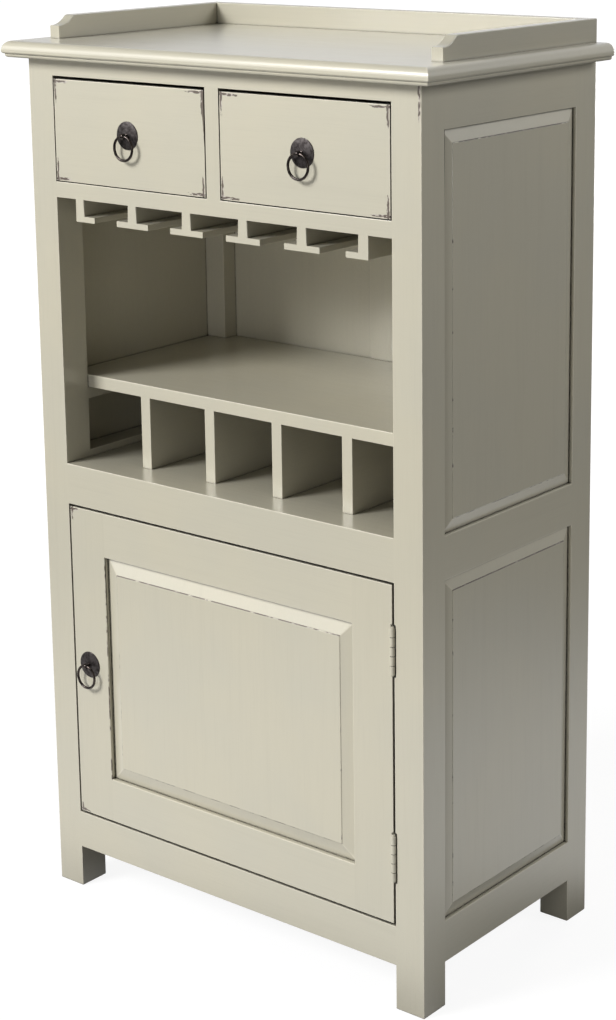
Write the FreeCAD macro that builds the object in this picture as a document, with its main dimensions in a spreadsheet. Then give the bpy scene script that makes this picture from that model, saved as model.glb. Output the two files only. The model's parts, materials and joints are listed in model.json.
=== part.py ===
"""Painted wine cabinet with two drawers, a stemware rack, bottle cubbies and a panelled door.

Four posts carry tenoned rails, and raised panels float in grooves between them. The frame of
the model has its origin on the floor at the middle of the overall box, with +Z up and the
front facing -Y. All sizes are in millimetres.
"""
import FreeCAD
import Part
import Sketcher
import os
import re

DOC = FreeCAD.newDocument("wine_cabinet")
SHEET = DOC.addObject("Spreadsheet::Sheet", "Sizes")
NODES = []

# Driving dimensions: name, value and what it measures
SIZES = (
    ("body_width", 586, "outside of the posts, left to right"),
    ("body_depth", 336, "outside of the posts, front to back"),
    ("post_width", 40, "post, left to right"),
    ("post_depth", 41, "post, front to back"),
    ("foot_height", 54, "floor to the underside of the bottom rails"),
    ("rail_height", 51.5, "wide rails of the front, sides and back"),
    ("sill_height", 48.3, "front rail below the door"),
    ("rail_thickness", 22, "all rails of the front and sides"),
    ("panel_opening_height", 405.5, "bottom rail to middle rail of the sides and back"),
    ("niche_height", 331, "bottle floor to drawer rail"),
    ("drawer_rail_height", 19.5, "rail below the drawers"),
    ("drawer_opening_height", 126, "drawer rail to top rail"),
    ("top_rail_height", 20.5, "rail above the drawers"),
    ("drawer_divider_width", 21, "upright between the drawers"),
    ("tenon_thickness", 10, "tenon on a rail's end"),
    ("tenon_length", 18, "reach of a tenon into its post"),
    ("tenon_margin", 3, "wide rail's tenon to the nearest panel groove"),
    ("narrow_shoulder", 3.5, "shoulder above and below a narrow rail's tenon"),
    ("divider_tenon_length", 8, "stub tenon on the drawer divider"),
    ("divider_tenon_width", 12, "stub tenon on the drawer divider, left to right"),
    ("top_front_overhang", 21, "top board past the posts at the front"),
    ("top_side_overhang", 24.5, "top board past the posts at each side"),
    ("nosing_thickness", 15, "rounded upper edge of the top board"),
    ("nosing_flat", 2.4, "flat left between the two rounds of the nosing"),
    ("nosing_ledge", 0.6, "flat left under the nosing, beside the step"),
    ("step_thickness", 4.5, "set-back lower step of the top board"),
    ("step_setback", 3, "nosing past the lower step"),
    ("step_round", 3, "round on the lower step's bottom edge"),
    ("gallery_height", 27, "rim that stands on the top board"),
    ("gallery_thickness", 15, "rim boards"),
    ("gallery_foot_height", 15.5, "upright front end of the side rims"),
    ("gallery_setback", 38, "side rims behind the front of the posts"),
    ("gallery_scoop_length", 24.5, "hollow scoop at the front of the side rims"),
    ("gallery_scoop_radius", 32, "radius of that scoop"),
    ("gallery_shoulder_radius", 8, "round where the scoop meets the top of the rim"),
    ("gallery_ease", 1.2, "round on the long top edges of the rims"),
    ("tongue_length", 6, "panel edge inside its groove"),
    ("panel_float", 1, "groove deeper than the panel's edge"),
    ("groove_clearance", 0.15, "groove wider than the panel's edge, each face"),
    ("panel_inset", 0.6, "panel field behind the face of its frame"),
    ("field_step", 0.8, "small shoulder round a raised field"),
    ("side_bevel_width", 15, "bevel round a side panel's field"),
    ("side_bevel_depth", 3.7, "fall of that bevel"),
    ("side_tongue_thickness", 3.8, "edge of a side panel"),
    ("back_inset", 3.5, "back frame in front of the posts' back faces"),
    ("back_frame_thickness", 18, "rails and muntins of the back"),
    ("back_muntin_width", 48, "upright in the middle of the back"),
    ("back_panel_thickness", 6, "flat panels of the back"),
    ("back_panel_recess", 3.5, "back panels behind the inner face of their frame"),
    ("floor_thickness", 14, "boards under the bottles and in the cupboard"),
    ("shelf_thickness", 16, "shelf above the bottles"),
    ("cubby_height", 89, "bottle floor to shelf"),
    ("cubby_divider_thickness", 15, "uprights between the bottles"),
    ("cleat_height", 15, "cleats under the shelf's ends"),
    ("floor_strip_height", 9, "strips beside the outer bottles"),
    ("fitting_gap", 0.3, "shelf and strips to the side panels"),
    ("stem_rail_drop", 26.5, "stemware rails below the drawer rail"),
    ("stem_web_thickness", 14, "upright web of a stemware rail"),
    ("stem_flange_width", 50.5, "flange of a middle stemware rail"),
    ("stem_end_flange_width", 31, "flange of an end stemware rail"),
    ("stem_flange_thickness", 7, "flange of a stemware rail"),
    ("stem_end_gap", 31.5, "end stemware rails to the posts"),
    ("stem_ease", 0.9, "round on the flanges' edges"),
    ("door_gap", 2.6, "round the door"),
    ("door_thickness", 22, "door frame"),
    ("door_member_width", 56.5, "stiles and rails of the door"),
    ("door_bevel_width", 18.5, "bevel round the door panel's field"),
    ("door_bevel_depth", 5, "fall of that bevel"),
    ("door_tongue_thickness", 5, "edge of the door panel"),
    ("hinge_length", 55.5, "butt hinge"),
    ("upper_hinge_inset", 51, "upper hinge to the top of the door opening"),
    ("lower_hinge_inset", 55.5, "lower hinge to the bottom of the door opening"),
    ("hinge_proud", 1, "hinge pin in front of the face"),
    ("knuckle_radius", 3.1, "hinge barrel"),
    ("knuckle_gap", 0.7, "between knuckles along the barrel"),
    ("barrel_clearance", 0.5, "wood to the hinge barrel"),
    ("barrel_end_gap", 1.2, "wood to the tips of the hinge pin"),
    ("hinge_pin_radius", 1.5, "hinge pin"),
    ("hinge_pin_clearance", 0.08, "running fit of the pin"),
    ("hinge_pin_head_radius", 2.3, "button tip of the pin"),
    ("hinge_pin_head_height", 1.2, "button tip of the pin"),
    ("leaf_thickness", 1.5, "hinge leaf"),
    ("leaf_gap", 1.2, "between the leaves of a closed hinge"),
    ("leaf_width", 17, "hinge leaf behind the face"),
    ("catch_width", 42, "magnetic catch, left to right"),
    ("catch_depth", 14, "magnetic catch, front to back"),
    ("catch_mount_height", 18, "catch on the back of the middle rail"),
    ("catch_drop", 17, "catch below the middle rail"),
    ("catch_inset", 14, "catch to the latch side of the opening"),
    ("catch_gap", 0.5, "catch to its plate on the closed door"),
    ("catch_plate_thickness", 1.5, "steel plate on the door"),
    ("catch_plate_width", 36, "steel plate on the door, left to right"),
    ("catch_plate_height", 13, "steel plate on the door"),
    ("drawer_side_gap", 1.2, "drawer front to the sides of its opening"),
    ("drawer_head_gap", 3.2, "drawer front to the top rail"),
    ("drawer_foot_gap", 1, "drawer front to the drawer rail"),
    ("drawer_run_gap", 1.5, "drawer box to its guides"),
    ("drawer_glide_gap", 0.3, "drawer box over its deck"),
    ("drawer_front_thickness", 18, "drawer front"),
    ("drawer_board_thickness", 11, "drawer sides and back"),
    ("drawer_joint_depth", 7, "drawer side let into the drawer front"),
    ("drawer_side_drop", 22, "drawer sides below the top of the drawer front"),
    ("drawer_bottom_thickness", 5, "drawer bottom"),
    ("drawer_bottom_lift", 8, "drawer bottom above the lower edge of the sides"),
    ("drawer_bottom_groove", 5, "drawer bottom let into the sides and front"),
    ("drawer_back_gap", 26, "closed drawer to the back frame"),
    ("guide_height", 28, "strips that keep the drawers straight"),
    ("plate_radius", 16.6, "round back plate of a pull"),
    ("plate_rim", 1.1, "edge of the back plate"),
    ("plate_crown", 2.3, "middle of the back plate"),
    ("ring_radius", 14.2, "pull ring, to the middle of its wire"),
    ("ring_wire_radius", 1.6, "wire of the pull ring"),
    ("eye_reach", 7.8, "face of the wood to the middle of the eye"),
    ("eye_bore_clearance", 0.6, "eye round the ring's wire"),
    ("eye_wall", 1.4, "wire of the eye"),
    ("eye_width", 4.2, "eye, left to right"),
    ("shank_radius", 1.8, "split pin through the wood"),
    ("shank_clearance", 0.15, "hole for the split pin"),
    ("leg_length", 13, "bent leg of the split pin"),
    ("leg_width", 3.2, "bent leg of the split pin"),
    ("leg_thickness", 1, "bent leg of the split pin"),
    ("door_pull_inset", 25, "middle of the door's pull to the door's edge"),
)
NAMES = {name for name, value, meaning in SIZES}

# Places worked out from the driving dimensions
LAYOUT = {
    "front": "(top_front_overhang - body_depth) / 2",
    "back": "front + body_depth",
    "half": "body_width / 2",
    "inner": "half - post_width",
    "post_rear": "front + post_depth",
    "back_post_face": "back - post_depth",
    "rail_rear": "front + rail_thickness",
    "side_rail_face": "half - rail_thickness",
    "panel_low": "foot_height + rail_height",
    "door_low": "foot_height + sill_height",
    "door_high": "panel_low + panel_opening_height",
    "niche_low": "door_high + rail_height",
    "niche_high": "niche_low + niche_height",
    "drawer_low": "niche_high + drawer_rail_height",
    "drawer_high": "drawer_low + drawer_opening_height",
    "post_top": "drawer_high + top_rail_height",
    "top_low_rail": "post_top - rail_height",
    "top_face": "post_top + step_thickness + nosing_thickness",
    "groove_depth": "tongue_length + panel_float",
    "wide_shoulder": "groove_depth + tenon_margin",
    "nosing_lower_radius": "step_setback - nosing_ledge",
    "nosing_upper_radius": "nosing_thickness - nosing_flat - nosing_lower_radius",
    "side_panel_face": "half - panel_inset - field_step - side_bevel_depth - side_tongue_thickness",
    "door_panel_rear": "front + panel_inset + field_step + door_bevel_depth + door_tongue_thickness",
    "back_frame_rear": "back - back_inset",
    "back_frame_face": "back_frame_rear - back_frame_thickness",
    "back_panel_face": "back_frame_face + back_panel_recess",
    "shelf_low": "niche_low + cubby_height",
    "shelf_high": "shelf_low + shelf_thickness",
    "cubby_pitch": "(2 * inner + cubby_divider_thickness) / 5",
    "stem_low": "niche_high - stem_rail_drop",
    "stem_pitch": "(2 * (inner - stem_end_gap) - stem_web_thickness) / 5",
    "door_half": "inner - door_gap",
    "door_foot": "door_low + door_gap",
    "door_head": "door_high - door_gap",
    "door_sight": "door_half - door_member_width",
    "door_rear": "front + door_thickness",
    "hinge_across": "inner - door_gap / 2",
    "hinge_forward": "front - hinge_proud",
    "knuckle_pitch": "hinge_length / 5",
    "hinge_bore_radius": "hinge_pin_radius + hinge_pin_clearance",
    "barrel_room": "knuckle_radius + barrel_clearance",
    "catch_left": "-inner + catch_inset",
    "catch_face": "door_rear + catch_plate_thickness + catch_gap",
    "catch_middle": "catch_left + catch_width / 2",
    "catch_plate_middle": "door_head - catch_plate_height",
    "drawer_base": "drawer_low + drawer_glide_gap",
    "drawer_front_top": "drawer_high - drawer_head_gap",
    "drawer_side_top": "drawer_front_top - drawer_side_drop",
    "drawer_front_rear": "front + drawer_front_thickness",
    "drawer_end": "back_frame_face - drawer_back_gap",
    "drawer_bottom_low": "drawer_base + drawer_bottom_lift",
    "drawer_bottom_high": "drawer_bottom_low + drawer_bottom_thickness",
    "drawer_pull_height": "(drawer_low + drawer_high) / 2",
    "drawer_pull_across": "(inner + drawer_divider_width / 2) / 2",
    "eye_bore_radius": "ring_wire_radius + eye_bore_clearance",
    "eye_radius": "eye_bore_radius + eye_wall",
    "shank_hole_radius": "shank_radius + shank_clearance",
}

X_AXIS = FreeCAD.Vector(1, 0, 0)
Y_AXIS = FreeCAD.Vector(0, 1, 0)
Z_AXIS = FreeCAD.Vector(0, 0, 1)

# How a shape drawn on its own XY plane, with its own Z outwards, is turned to face each way
FACING = {
    "up": FreeCAD.Rotation(),
    "front": FreeCAD.Rotation(X_AXIS, Z_AXIS, -Y_AXIS, "ZXY"),
    "right": FreeCAD.Rotation(Y_AXIS, Z_AXIS, X_AXIS, "ZXY"),
    "left": FreeCAD.Rotation(-Y_AXIS, Z_AXIS, -X_AXIS, "ZXY"),
}


def fill_sheet():
    """Write every driving dimension to the sheet, with its name as alias."""
    for row, (name, value, meaning) in enumerate(SIZES, start=1):
        SHEET.set(f"A{row}", name)
        SHEET.set(f"B{row}", str(value))
        SHEET.set(f"C{row}", meaning)
        SHEET.setAlias(f"B{row}", name)
    DOC.recompute()


def expand(text):
    """Spell out layout names until only cells of the sheet are left."""
    def swap(match):
        word = match.group()
        if word in LAYOUT:
            return f"({expand(LAYOUT[word])})"
        if word in NAMES:
            return f"Sizes.{word}"
        return word
    return re.sub(r"[a-z][a-z_]+", swap, text)


def measure(text):
    """The present value of an expression, for first guesses and for finding edges."""
    return float(SHEET.evalExpression(expand(text)))


def bind(thing, **places):
    """Tie properties of an object to expressions, with __ standing for a dot."""
    for name, text in places.items():
        thing.setExpression(name.replace("__", "."), expand(text))


def stand(thing, at, facing="up"):
    """Turn an object and tie its place to three expressions."""
    thing.Placement = FreeCAD.Placement(FreeCAD.Vector(), FACING[facing])
    bind(thing, Placement__Base__x=at[0], Placement__Base__y=at[1], Placement__Base__z=at[2])


def keep(label, thing):
    """Make an object a node of the assembly."""
    thing.Label = label
    NODES.append(thing)
    return thing


def block(name, x, y, z):
    """A board between low and high bounds along each axis."""
    board = DOC.addObject("Part::Box", name)
    bind(board, Length=f"({x[1]}) - ({x[0]})", Width=f"({y[1]}) - ({y[0]})", Height=f"({z[1]}) - ({z[0]})")
    stand(board, (x[0], y[0], z[0]))
    return board


def rod(name, radius, at, length, facing="up"):
    """A round bar that starts at a point and runs the way it faces."""
    bar = DOC.addObject("Part::Cylinder", name)
    bind(bar, Radius=radius, Height=length)
    stand(bar, at, facing)
    return bar


def fuse(name, pieces):
    """One solid from several."""
    joined = DOC.addObject("Part::MultiFuse", name)
    joined.Shapes = pieces
    joined.Refine = True
    return joined


def cut(name, blank, tools):
    """A blank with every tool's shape taken out of it."""
    piece = DOC.addObject("Part::Cut", name)
    piece.Base = blank
    piece.Tool = tools[0] if len(tools) == 1 else fuse(f"{name}_cutters", tools)
    piece.Refine = True
    return piece


def group(name, pieces):
    """Like pieces that share one node and stay separate solids."""
    bundle = DOC.addObject("Part::Compound", name)
    bundle.Links = pieces
    return bundle


def mirrored_span(span):
    """The same span on the other side of the middle."""
    return f"-({span[1]})", f"-({span[0]})"


def new_sketch(body, name, lift="0", role="XY_Plane"):
    """An empty sketch on one of the body's own planes, raised off it."""
    sketch = body.newObject("Sketcher::SketchObject", name)
    plane = next(item for item in body.Origin.OriginFeatures if item.Role == role)
    sketch.AttachmentSupport = [(plane, "")]
    sketch.MapMode = "FlatFace"
    bind(sketch, AttachmentOffset__Base__z=lift)
    return sketch


def pin_down(sketch, kind, text, line):
    """Hold the start of a line at a signed distance from the sketch's origin."""
    place = sketch.addConstraint(Sketcher.Constraint(kind, -1, 1, line, 1, measure(text)))
    sketch.setExpression(f"Constraints[{place}]", expand(text))


def outline(body, name, corners, lift="0", arcs=None):
    """A closed sketch through corners; arcs maps an edge's number to a radius expression."""
    sketch = new_sketch(body, name, lift)
    points = [FreeCAD.Vector(measure(x), measure(y), 0) for x, y in corners]
    arcs = arcs or {}
    for number, start in enumerate(points):
        end = points[(number + 1) % len(points)]
        if number in arcs:
            sketch.addGeometry(left_arc(start, end, measure(arcs[number])))
        else:
            sketch.addGeometry(Part.LineSegment(start, end))
    for number in range(len(points)):
        following = (number + 1) % len(points)
        sketch.addConstraint(Sketcher.Constraint("Coincident", number, 2, following, 1))
    for number, (x, y) in enumerate(corners):
        pin_down(sketch, "DistanceX", x, number)
        pin_down(sketch, "DistanceY", y, number)
    for number, radius in arcs.items():
        place = sketch.addConstraint(Sketcher.Constraint("Radius", number, measure(radius)))
        sketch.setExpression(f"Constraints[{place}]", expand(radius))
    return sketch


def left_arc(start, end, radius):
    """An arc from start to end that turns left, so it bulges to the right of its chord."""
    chord = end - start
    across = FreeCAD.Vector(chord.y, -chord.x, 0).normalize()
    rise = (radius ** 2 - (chord.Length / 2) ** 2) ** 0.5
    middle = start + chord / 2 + across * (radius - rise)
    return Part.Arc(start, middle, end)


def rectangle(body, name, wide, tall, lift="0"):
    """A rectangle centred on the body's Z axis."""
    sketch = new_sketch(body, name, lift)
    x = measure(wide) / 2
    y = measure(tall) / 2
    corners = [FreeCAD.Vector(*corner, 0) for corner in ((-x, -y), (x, -y), (x, y), (-x, y))]
    for number in range(4):
        sketch.addGeometry(Part.LineSegment(corners[number], corners[(number + 1) % 4]))
    for number in range(4):
        sketch.addConstraint(Sketcher.Constraint("Coincident", number, 2, (number + 1) % 4, 1))
        sketch.addConstraint(Sketcher.Constraint("Vertical" if number % 2 else "Horizontal", number))
    sketch.addConstraint(Sketcher.Constraint("Symmetric", 0, 1, 1, 2, -1, 1))
    for kind, line, text in (("DistanceX", 0, wide), ("DistanceY", 1, tall)):
        place = sketch.addConstraint(Sketcher.Constraint(kind, line, 1, line, 2, measure(text)))
        sketch.setExpression(f"Constraints[{place}]", expand(text))
    return sketch


def pad(body, sketch, length):
    """Raise a sketch along the body's Z."""
    feature = body.newObject("PartDesign::Pad", f"{sketch.Name}_pad")
    feature.Profile = sketch
    bind(feature, Length=length)
    DOC.recompute()
    return feature


def ease(body, base, chosen, radius):
    """Round the edges of a feature that a test picks."""
    edges = [f"Edge{number}" for number, edge in enumerate(base.Shape.Edges, start=1) if chosen(edge)]
    feature = body.newObject("PartDesign::Fillet", f"{base.Name}_round")
    feature.Base = (base, edges)
    bind(feature, Radius=radius)
    DOC.recompute()
    return feature


def new_body(label, at, facing):
    """An empty body that is a node of the assembly."""
    body = DOC.addObject("PartDesign::Body", label)
    stand(body, at, facing)
    return keep(label, body)


def near(value, text):
    """Whether a length in a shape is the one an expression gives."""
    return abs(value - measure(text)) < 1e-4


def rail(label, along, run, across, rise, shoulder, grooves=()):
    """A rail with a tenon at each end. Returns the tenons, which also cut the mortises."""
    middle = f"(({across[0]}) + ({across[1]})) / 2"
    long_run = (f"{run[0]} - tenon_length", f"{run[1]} + tenon_length")
    cheeks = (f"{middle} - tenon_thickness / 2", f"{middle} + tenon_thickness / 2")
    tall = (f"{rise[0]} + {shoulder}", f"{rise[1]} - {shoulder}")
    if along == "x":
        board = block(f"{label}_board", run, across, rise)
        tenons = block(f"{label}_tenons", long_run, cheeks, tall)
    else:
        board = block(f"{label}_board", across, run, rise)
        tenons = block(f"{label}_tenons", cheeks, long_run, tall)
    blank = fuse(f"{label}_blank", [board, tenons])
    return (cut(label, blank, grooves) if grooves else blank), tenons


def widened(span, by):
    """A span that reaches further at both ends."""
    return f"({span[0]}) - ({by})", f"({span[1]}) + ({by})"


def panel_groove(label, x, y, z, thin):
    """The space that a panel's edge needs, cut from every piece round the opening."""
    spans = {"x": x, "y": y, "z": z}
    grown = {axis: widened(span, "groove_clearance" if axis == thin else "groove_depth")
             for axis, span in spans.items()}
    return block(f"{label}_groove", grown["x"], grown["y"], grown["z"])


def raised_panel(label, at, facing, opening, bevel, fall, edge):
    """A fielded panel: thin tongue all round, sloping bevel, small shoulder and flat field."""
    wide, tall = opening
    body = new_body(label, at, facing)
    tongue = rectangle(body, f"{label}_tongue", f"{wide} + 2 * tongue_length", f"{tall} + 2 * tongue_length")
    pad(body, tongue, edge)
    foot = rectangle(body, f"{label}_bevel_foot", wide, tall, edge)
    field_size = (f"{wide} - 2 * {bevel}", f"{tall} - 2 * {bevel}")
    head = rectangle(body, f"{label}_bevel_head", *field_size, f"{edge} + {fall}")
    slope = body.newObject("PartDesign::AdditiveLoft", f"{label}_bevel")
    slope.Profile = foot
    slope.Sections = [head]
    slope.Ruled = True
    DOC.recompute()
    field = rectangle(body, f"{label}_field", *field_size, f"{edge} + {fall}")
    pad(body, field, "field_step")


def front_frame():
    """Rails of the front and the upright between the drawers. Returns the mortise tools."""
    run = ("-inner", "inner")
    across = ("front", "rail_rear")
    middle = "(front + rail_rear) / 2"
    half_wide = "drawer_divider_width / 2"
    upright = block("divider_board", (f"-{half_wide}", half_wide), across, ("drawer_low", "drawer_high"))
    stubs = block(
        "divider_stubs",
        ("-divider_tenon_width / 2", "divider_tenon_width / 2"),
        (f"{middle} - tenon_thickness / 2", f"{middle} + tenon_thickness / 2"),
        ("drawer_low - divider_tenon_length", "drawer_high + divider_tenon_length"),
    )
    keep("drawer_divider", fuse("drawer_divider", [upright, stubs]))
    rises = (
        ("front_bottom_rail", ("foot_height", "door_low"), "wide_shoulder", ()),
        ("front_middle_rail", ("door_high", "niche_low"), "wide_shoulder", ()),
        ("drawer_rail", ("niche_high", "drawer_low"), "narrow_shoulder", (stubs,)),
        ("front_top_rail", ("drawer_high", "post_top"), "narrow_shoulder", (stubs,)),
    )
    tools = []
    for label, rise, shoulder, mortises in rises:
        piece, tenons = rail(label, "x", run, across, rise, shoulder, mortises)
        keep(label, piece)
        tools.append(tenons)
    return tools


def side_frame(side):
    """Rails and raised panels of one side. Returns the tools that cut its posts."""
    run = ("post_rear", "back_post_face")
    across = ("side_rail_face", "half")
    edge = ("side_panel_face", "side_panel_face + side_tongue_thickness")
    if side == "left":
        across = mirrored_span(across)
        edge = mirrored_span(edge)
    openings = (("lower", "panel_low", "door_high"), ("upper", "niche_low", "top_low_rail"))
    grooves = []
    for level, low, high in openings:
        label = f"{side}_{level}_panel"
        grooves.append(panel_groove(label, edge, run, (low, high), "x"))
        at = ("side_panel_face" if side == "right" else "-side_panel_face",
              "(post_rear + back_post_face) / 2", f"({low} + {high}) / 2")
        opening = ("(back_post_face - post_rear)", f"({high} - {low})")
        raised_panel(label, at, side, opening, "side_bevel_width", "side_bevel_depth", "side_tongue_thickness")
    lower, upper = grooves
    rises = (
        ("bottom", ("foot_height", "panel_low"), [lower]),
        ("middle", ("door_high", "niche_low"), [lower, upper]),
        ("top", ("top_low_rail", "post_top"), [upper]),
    )
    tools = list(grooves)
    for level, rise, cuts in rises:
        label = f"{side}_{level}_rail"
        piece, tenons = rail(label, "y", run, across, rise, "wide_shoulder", cuts)
        keep(label, piece)
        tools.append(tenons)
    return tools


def back_frame():
    """Rails, muntins and flat panels of the back. Returns the tools that cut the posts."""
    across = ("back_frame_face", "back_frame_rear")
    thick = ("back_panel_face", "back_panel_face + back_panel_thickness")
    middle = ("-back_muntin_width / 2", "back_muntin_width / 2")
    bays = (("right", ("back_muntin_width / 2", "inner")), ("left", ("-inner", "-back_muntin_width / 2")))
    panels = []
    grooves = {}
    muntins = []
    stubs = {}
    for level, rise in (("lower", ("panel_low", "door_high")), ("upper", ("niche_low", "top_low_rail"))):
        grooves[level] = []
        for side, bay in bays:
            name = f"back_{level}_{side}"
            panels.append(block(name, widened(bay, "tongue_length"), thick, widened(rise, "tongue_length")))
            grooves[level].append(panel_groove(name, bay, thick, rise, "y"))
        board = block(f"back_{level}_muntin_board", middle, across, rise)
        stubs[level] = block(f"back_{level}_muntin_stubs", widened(middle, "-groove_depth"), thick,
                             widened(rise, "tongue_length"))
        blank = fuse(f"back_{level}_muntin_blank", [board, stubs[level]])
        muntins.append(cut(f"back_{level}_muntin", blank, grooves[level]))
    keep("back_panels", group("back_panels", panels))
    keep("back_muntins", group("back_muntins", muntins))
    lower = [*grooves["lower"], stubs["lower"]]
    upper = [*grooves["upper"], stubs["upper"]]
    rises = (
        ("back_bottom_rail", ("foot_height", "panel_low"), lower),
        ("back_middle_rail", ("door_high", "niche_low"), lower + upper),
        ("back_top_rail", ("top_low_rail", "post_top"), upper),
    )
    rails = []
    tools = [*grooves["lower"], *grooves["upper"]]
    for label, rise, cuts in rises:
        piece, tenons = rail(label, "x", ("-inner", "inner"), across, rise, "wide_shoulder", cuts)
        rails.append(piece)
        tools.append(tenons)
    keep("back_rails", group("back_rails", rails))
    return tools


def post_blanks():
    """The four posts before any joint is cut in them."""
    blanks = {}
    for side, x in (("left", ("-half", "-inner")), ("right", ("inner", "half"))):
        for place, y in (("front", ("front", "post_rear")), ("back", ("back_post_face", "back"))):
            label = f"{place}_{side}_post"
            blanks[label] = block(f"{label}_blank", x, y, ("0", "post_top"))
    return blanks


def top_board():
    """The top with its bullnose edge over a set-back step, flush at the back."""
    body = new_body("top_board", ("0", "(front + back) / 2", "post_top"), "up")
    half_deep = "body_depth / 2"
    low_wide = "half + top_side_overhang - step_setback"
    low_front = f"-{half_deep} - top_front_overhang + step_setback"
    step = outline(body, "top_step", corners_of(low_wide, low_front, half_deep))
    pad(body, step, "step_thickness")
    wide = "half + top_side_overhang"
    forward = f"-{half_deep} - top_front_overhang"
    nosing = outline(body, "top_nosing", corners_of(wide, forward, half_deep), "step_thickness")
    board = pad(body, nosing, "nosing_thickness")
    low_round = ease(body, board, rim_edge("step_thickness", wide, forward), "nosing_lower_radius")
    high_level = "step_thickness + nosing_thickness"
    high_round = ease(body, low_round, rim_edge(high_level, wide, forward), "nosing_upper_radius")
    ease(body, high_round, rim_edge("0", low_wide, low_front), "step_round")


def rim_edge(level, wide, forward):
    """A test for the front and side edges of the top board at one level, in its own frame."""
    def is_rim(edge):
        box = edge.BoundBox
        level_edge = near(box.ZMin, level) and near(box.ZMax, level)
        return level_edge and (near(box.YMax, forward) or near(abs(box.XMin + box.XMax) / 2, wide))
    return is_rim


def corners_of(wide, forward, rear):
    """The four corners of a rectangle that is centred left to right."""
    return ((f"-({wide})", forward), (wide, forward), (wide, rear), (f"-({wide})", rear))


def gallery():
    """Rim on the top: two side boards with a hollow scoop in front, and a back board between."""
    for side, at in (("left", "-half"), ("right", "half - gallery_thickness")):
        body = new_body(f"gallery_{side}", (at, "front + gallery_setback", "top_face"), "right")
        rear = "body_depth - gallery_setback"
        profile = outline(
            body, f"gallery_{side}_profile",
            (("0", "0"), ("0", "gallery_foot_height"), ("gallery_scoop_length", "gallery_height"),
             (rear, "gallery_height"), (rear, "0")),
            arcs={1: "gallery_scoop_radius"},
        )
        board = pad(body, profile, "gallery_thickness")
        shoulder = ease(body, board, is_shoulder, "gallery_shoulder_radius")
        ease(body, shoulder, is_side_arris, "gallery_ease")
    body = new_body("gallery_back", ("-half + gallery_thickness", "back - gallery_thickness", "top_face"), "up")
    long = "2 * (half - gallery_thickness)"
    foot = outline(body, "gallery_back_foot",
                   (("0", "0"), (long, "0"), (long, "gallery_thickness"), ("0", "gallery_thickness")))
    board = pad(body, foot, "gallery_height")
    ease(body, board, is_back_arris, "gallery_ease")


def is_shoulder(edge):
    """The edge across a side rim where the scoop reaches the top, in the rim's own frame."""
    box = edge.BoundBox
    return near(box.YMin, "gallery_height") and near(box.XMin, "gallery_scoop_length") and box.XLength < 1


def is_side_arris(edge):
    """The two long top edges of a side rim, in its own frame."""
    box = edge.BoundBox
    return near(box.YMin, "gallery_height") and box.XLength > box.ZLength


def is_back_arris(edge):
    """The two long top edges of the back rim, in its own frame."""
    box = edge.BoundBox
    return near(box.ZMin, "gallery_height") and box.XLength > box.YLength


STEM_FLANGE_TIPS = ("stem_flange_width / 2", "stem_end_flange_width - stem_web_thickness / 2")


def stemware_rack():
    """Six rails under the drawers that hold glasses by the foot: an L at each end and four Ts."""
    tall = "stem_rail_drop"
    thick = "stem_flange_thickness"
    web = "stem_web_thickness / 2"
    bar, tip = STEM_FLANGE_TIPS
    tee = ((f"-{bar}", "0"), (bar, "0"), (bar, thick), (web, thick), (web, tall), (f"-{web}", tall),
           (f"-{web}", thick), (f"-{bar}", thick))
    ell = ((f"-{web}", "0"), (tip, "0"), (tip, thick), (web, thick), (web, tall), (f"-{web}", tall))
    mirrored_ell = tuple((f"-({x})", y) for x, y in reversed(ell))
    sections = ((-2.5, ell), (-1.5, tee), (-0.5, tee), (0.5, tee), (1.5, tee), (2.5, mirrored_ell))
    pieces = []
    for number, (step, section) in enumerate(sections):
        name = f"stem_rail_{number}"
        body = DOC.addObject("PartDesign::Body", name)
        stand(body, (f"{step} * stem_pitch", "back_frame_face", "stem_low"), "front")
        bar_pad = pad(body, outline(body, f"{name}_section", section), "back_frame_face - front")
        ease(body, bar_pad, is_flange_edge, "stem_ease")
        pieces.append(body)
    keep("stemware_end_rails", group("stemware_end_rails", [pieces[0], pieces[-1]]))
    keep("stemware_rails", group("stemware_rails", pieces[1:-1]))


def is_flange_edge(edge):
    """The long edges at the free tips of a stemware rail's flange, in its own frame."""
    box = edge.BoundBox
    lengthwise = box.ZLength > box.XLength + box.YLength
    return lengthwise and any(near(abs(box.XMin), tip) for tip in STEM_FLANGE_TIPS)


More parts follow.
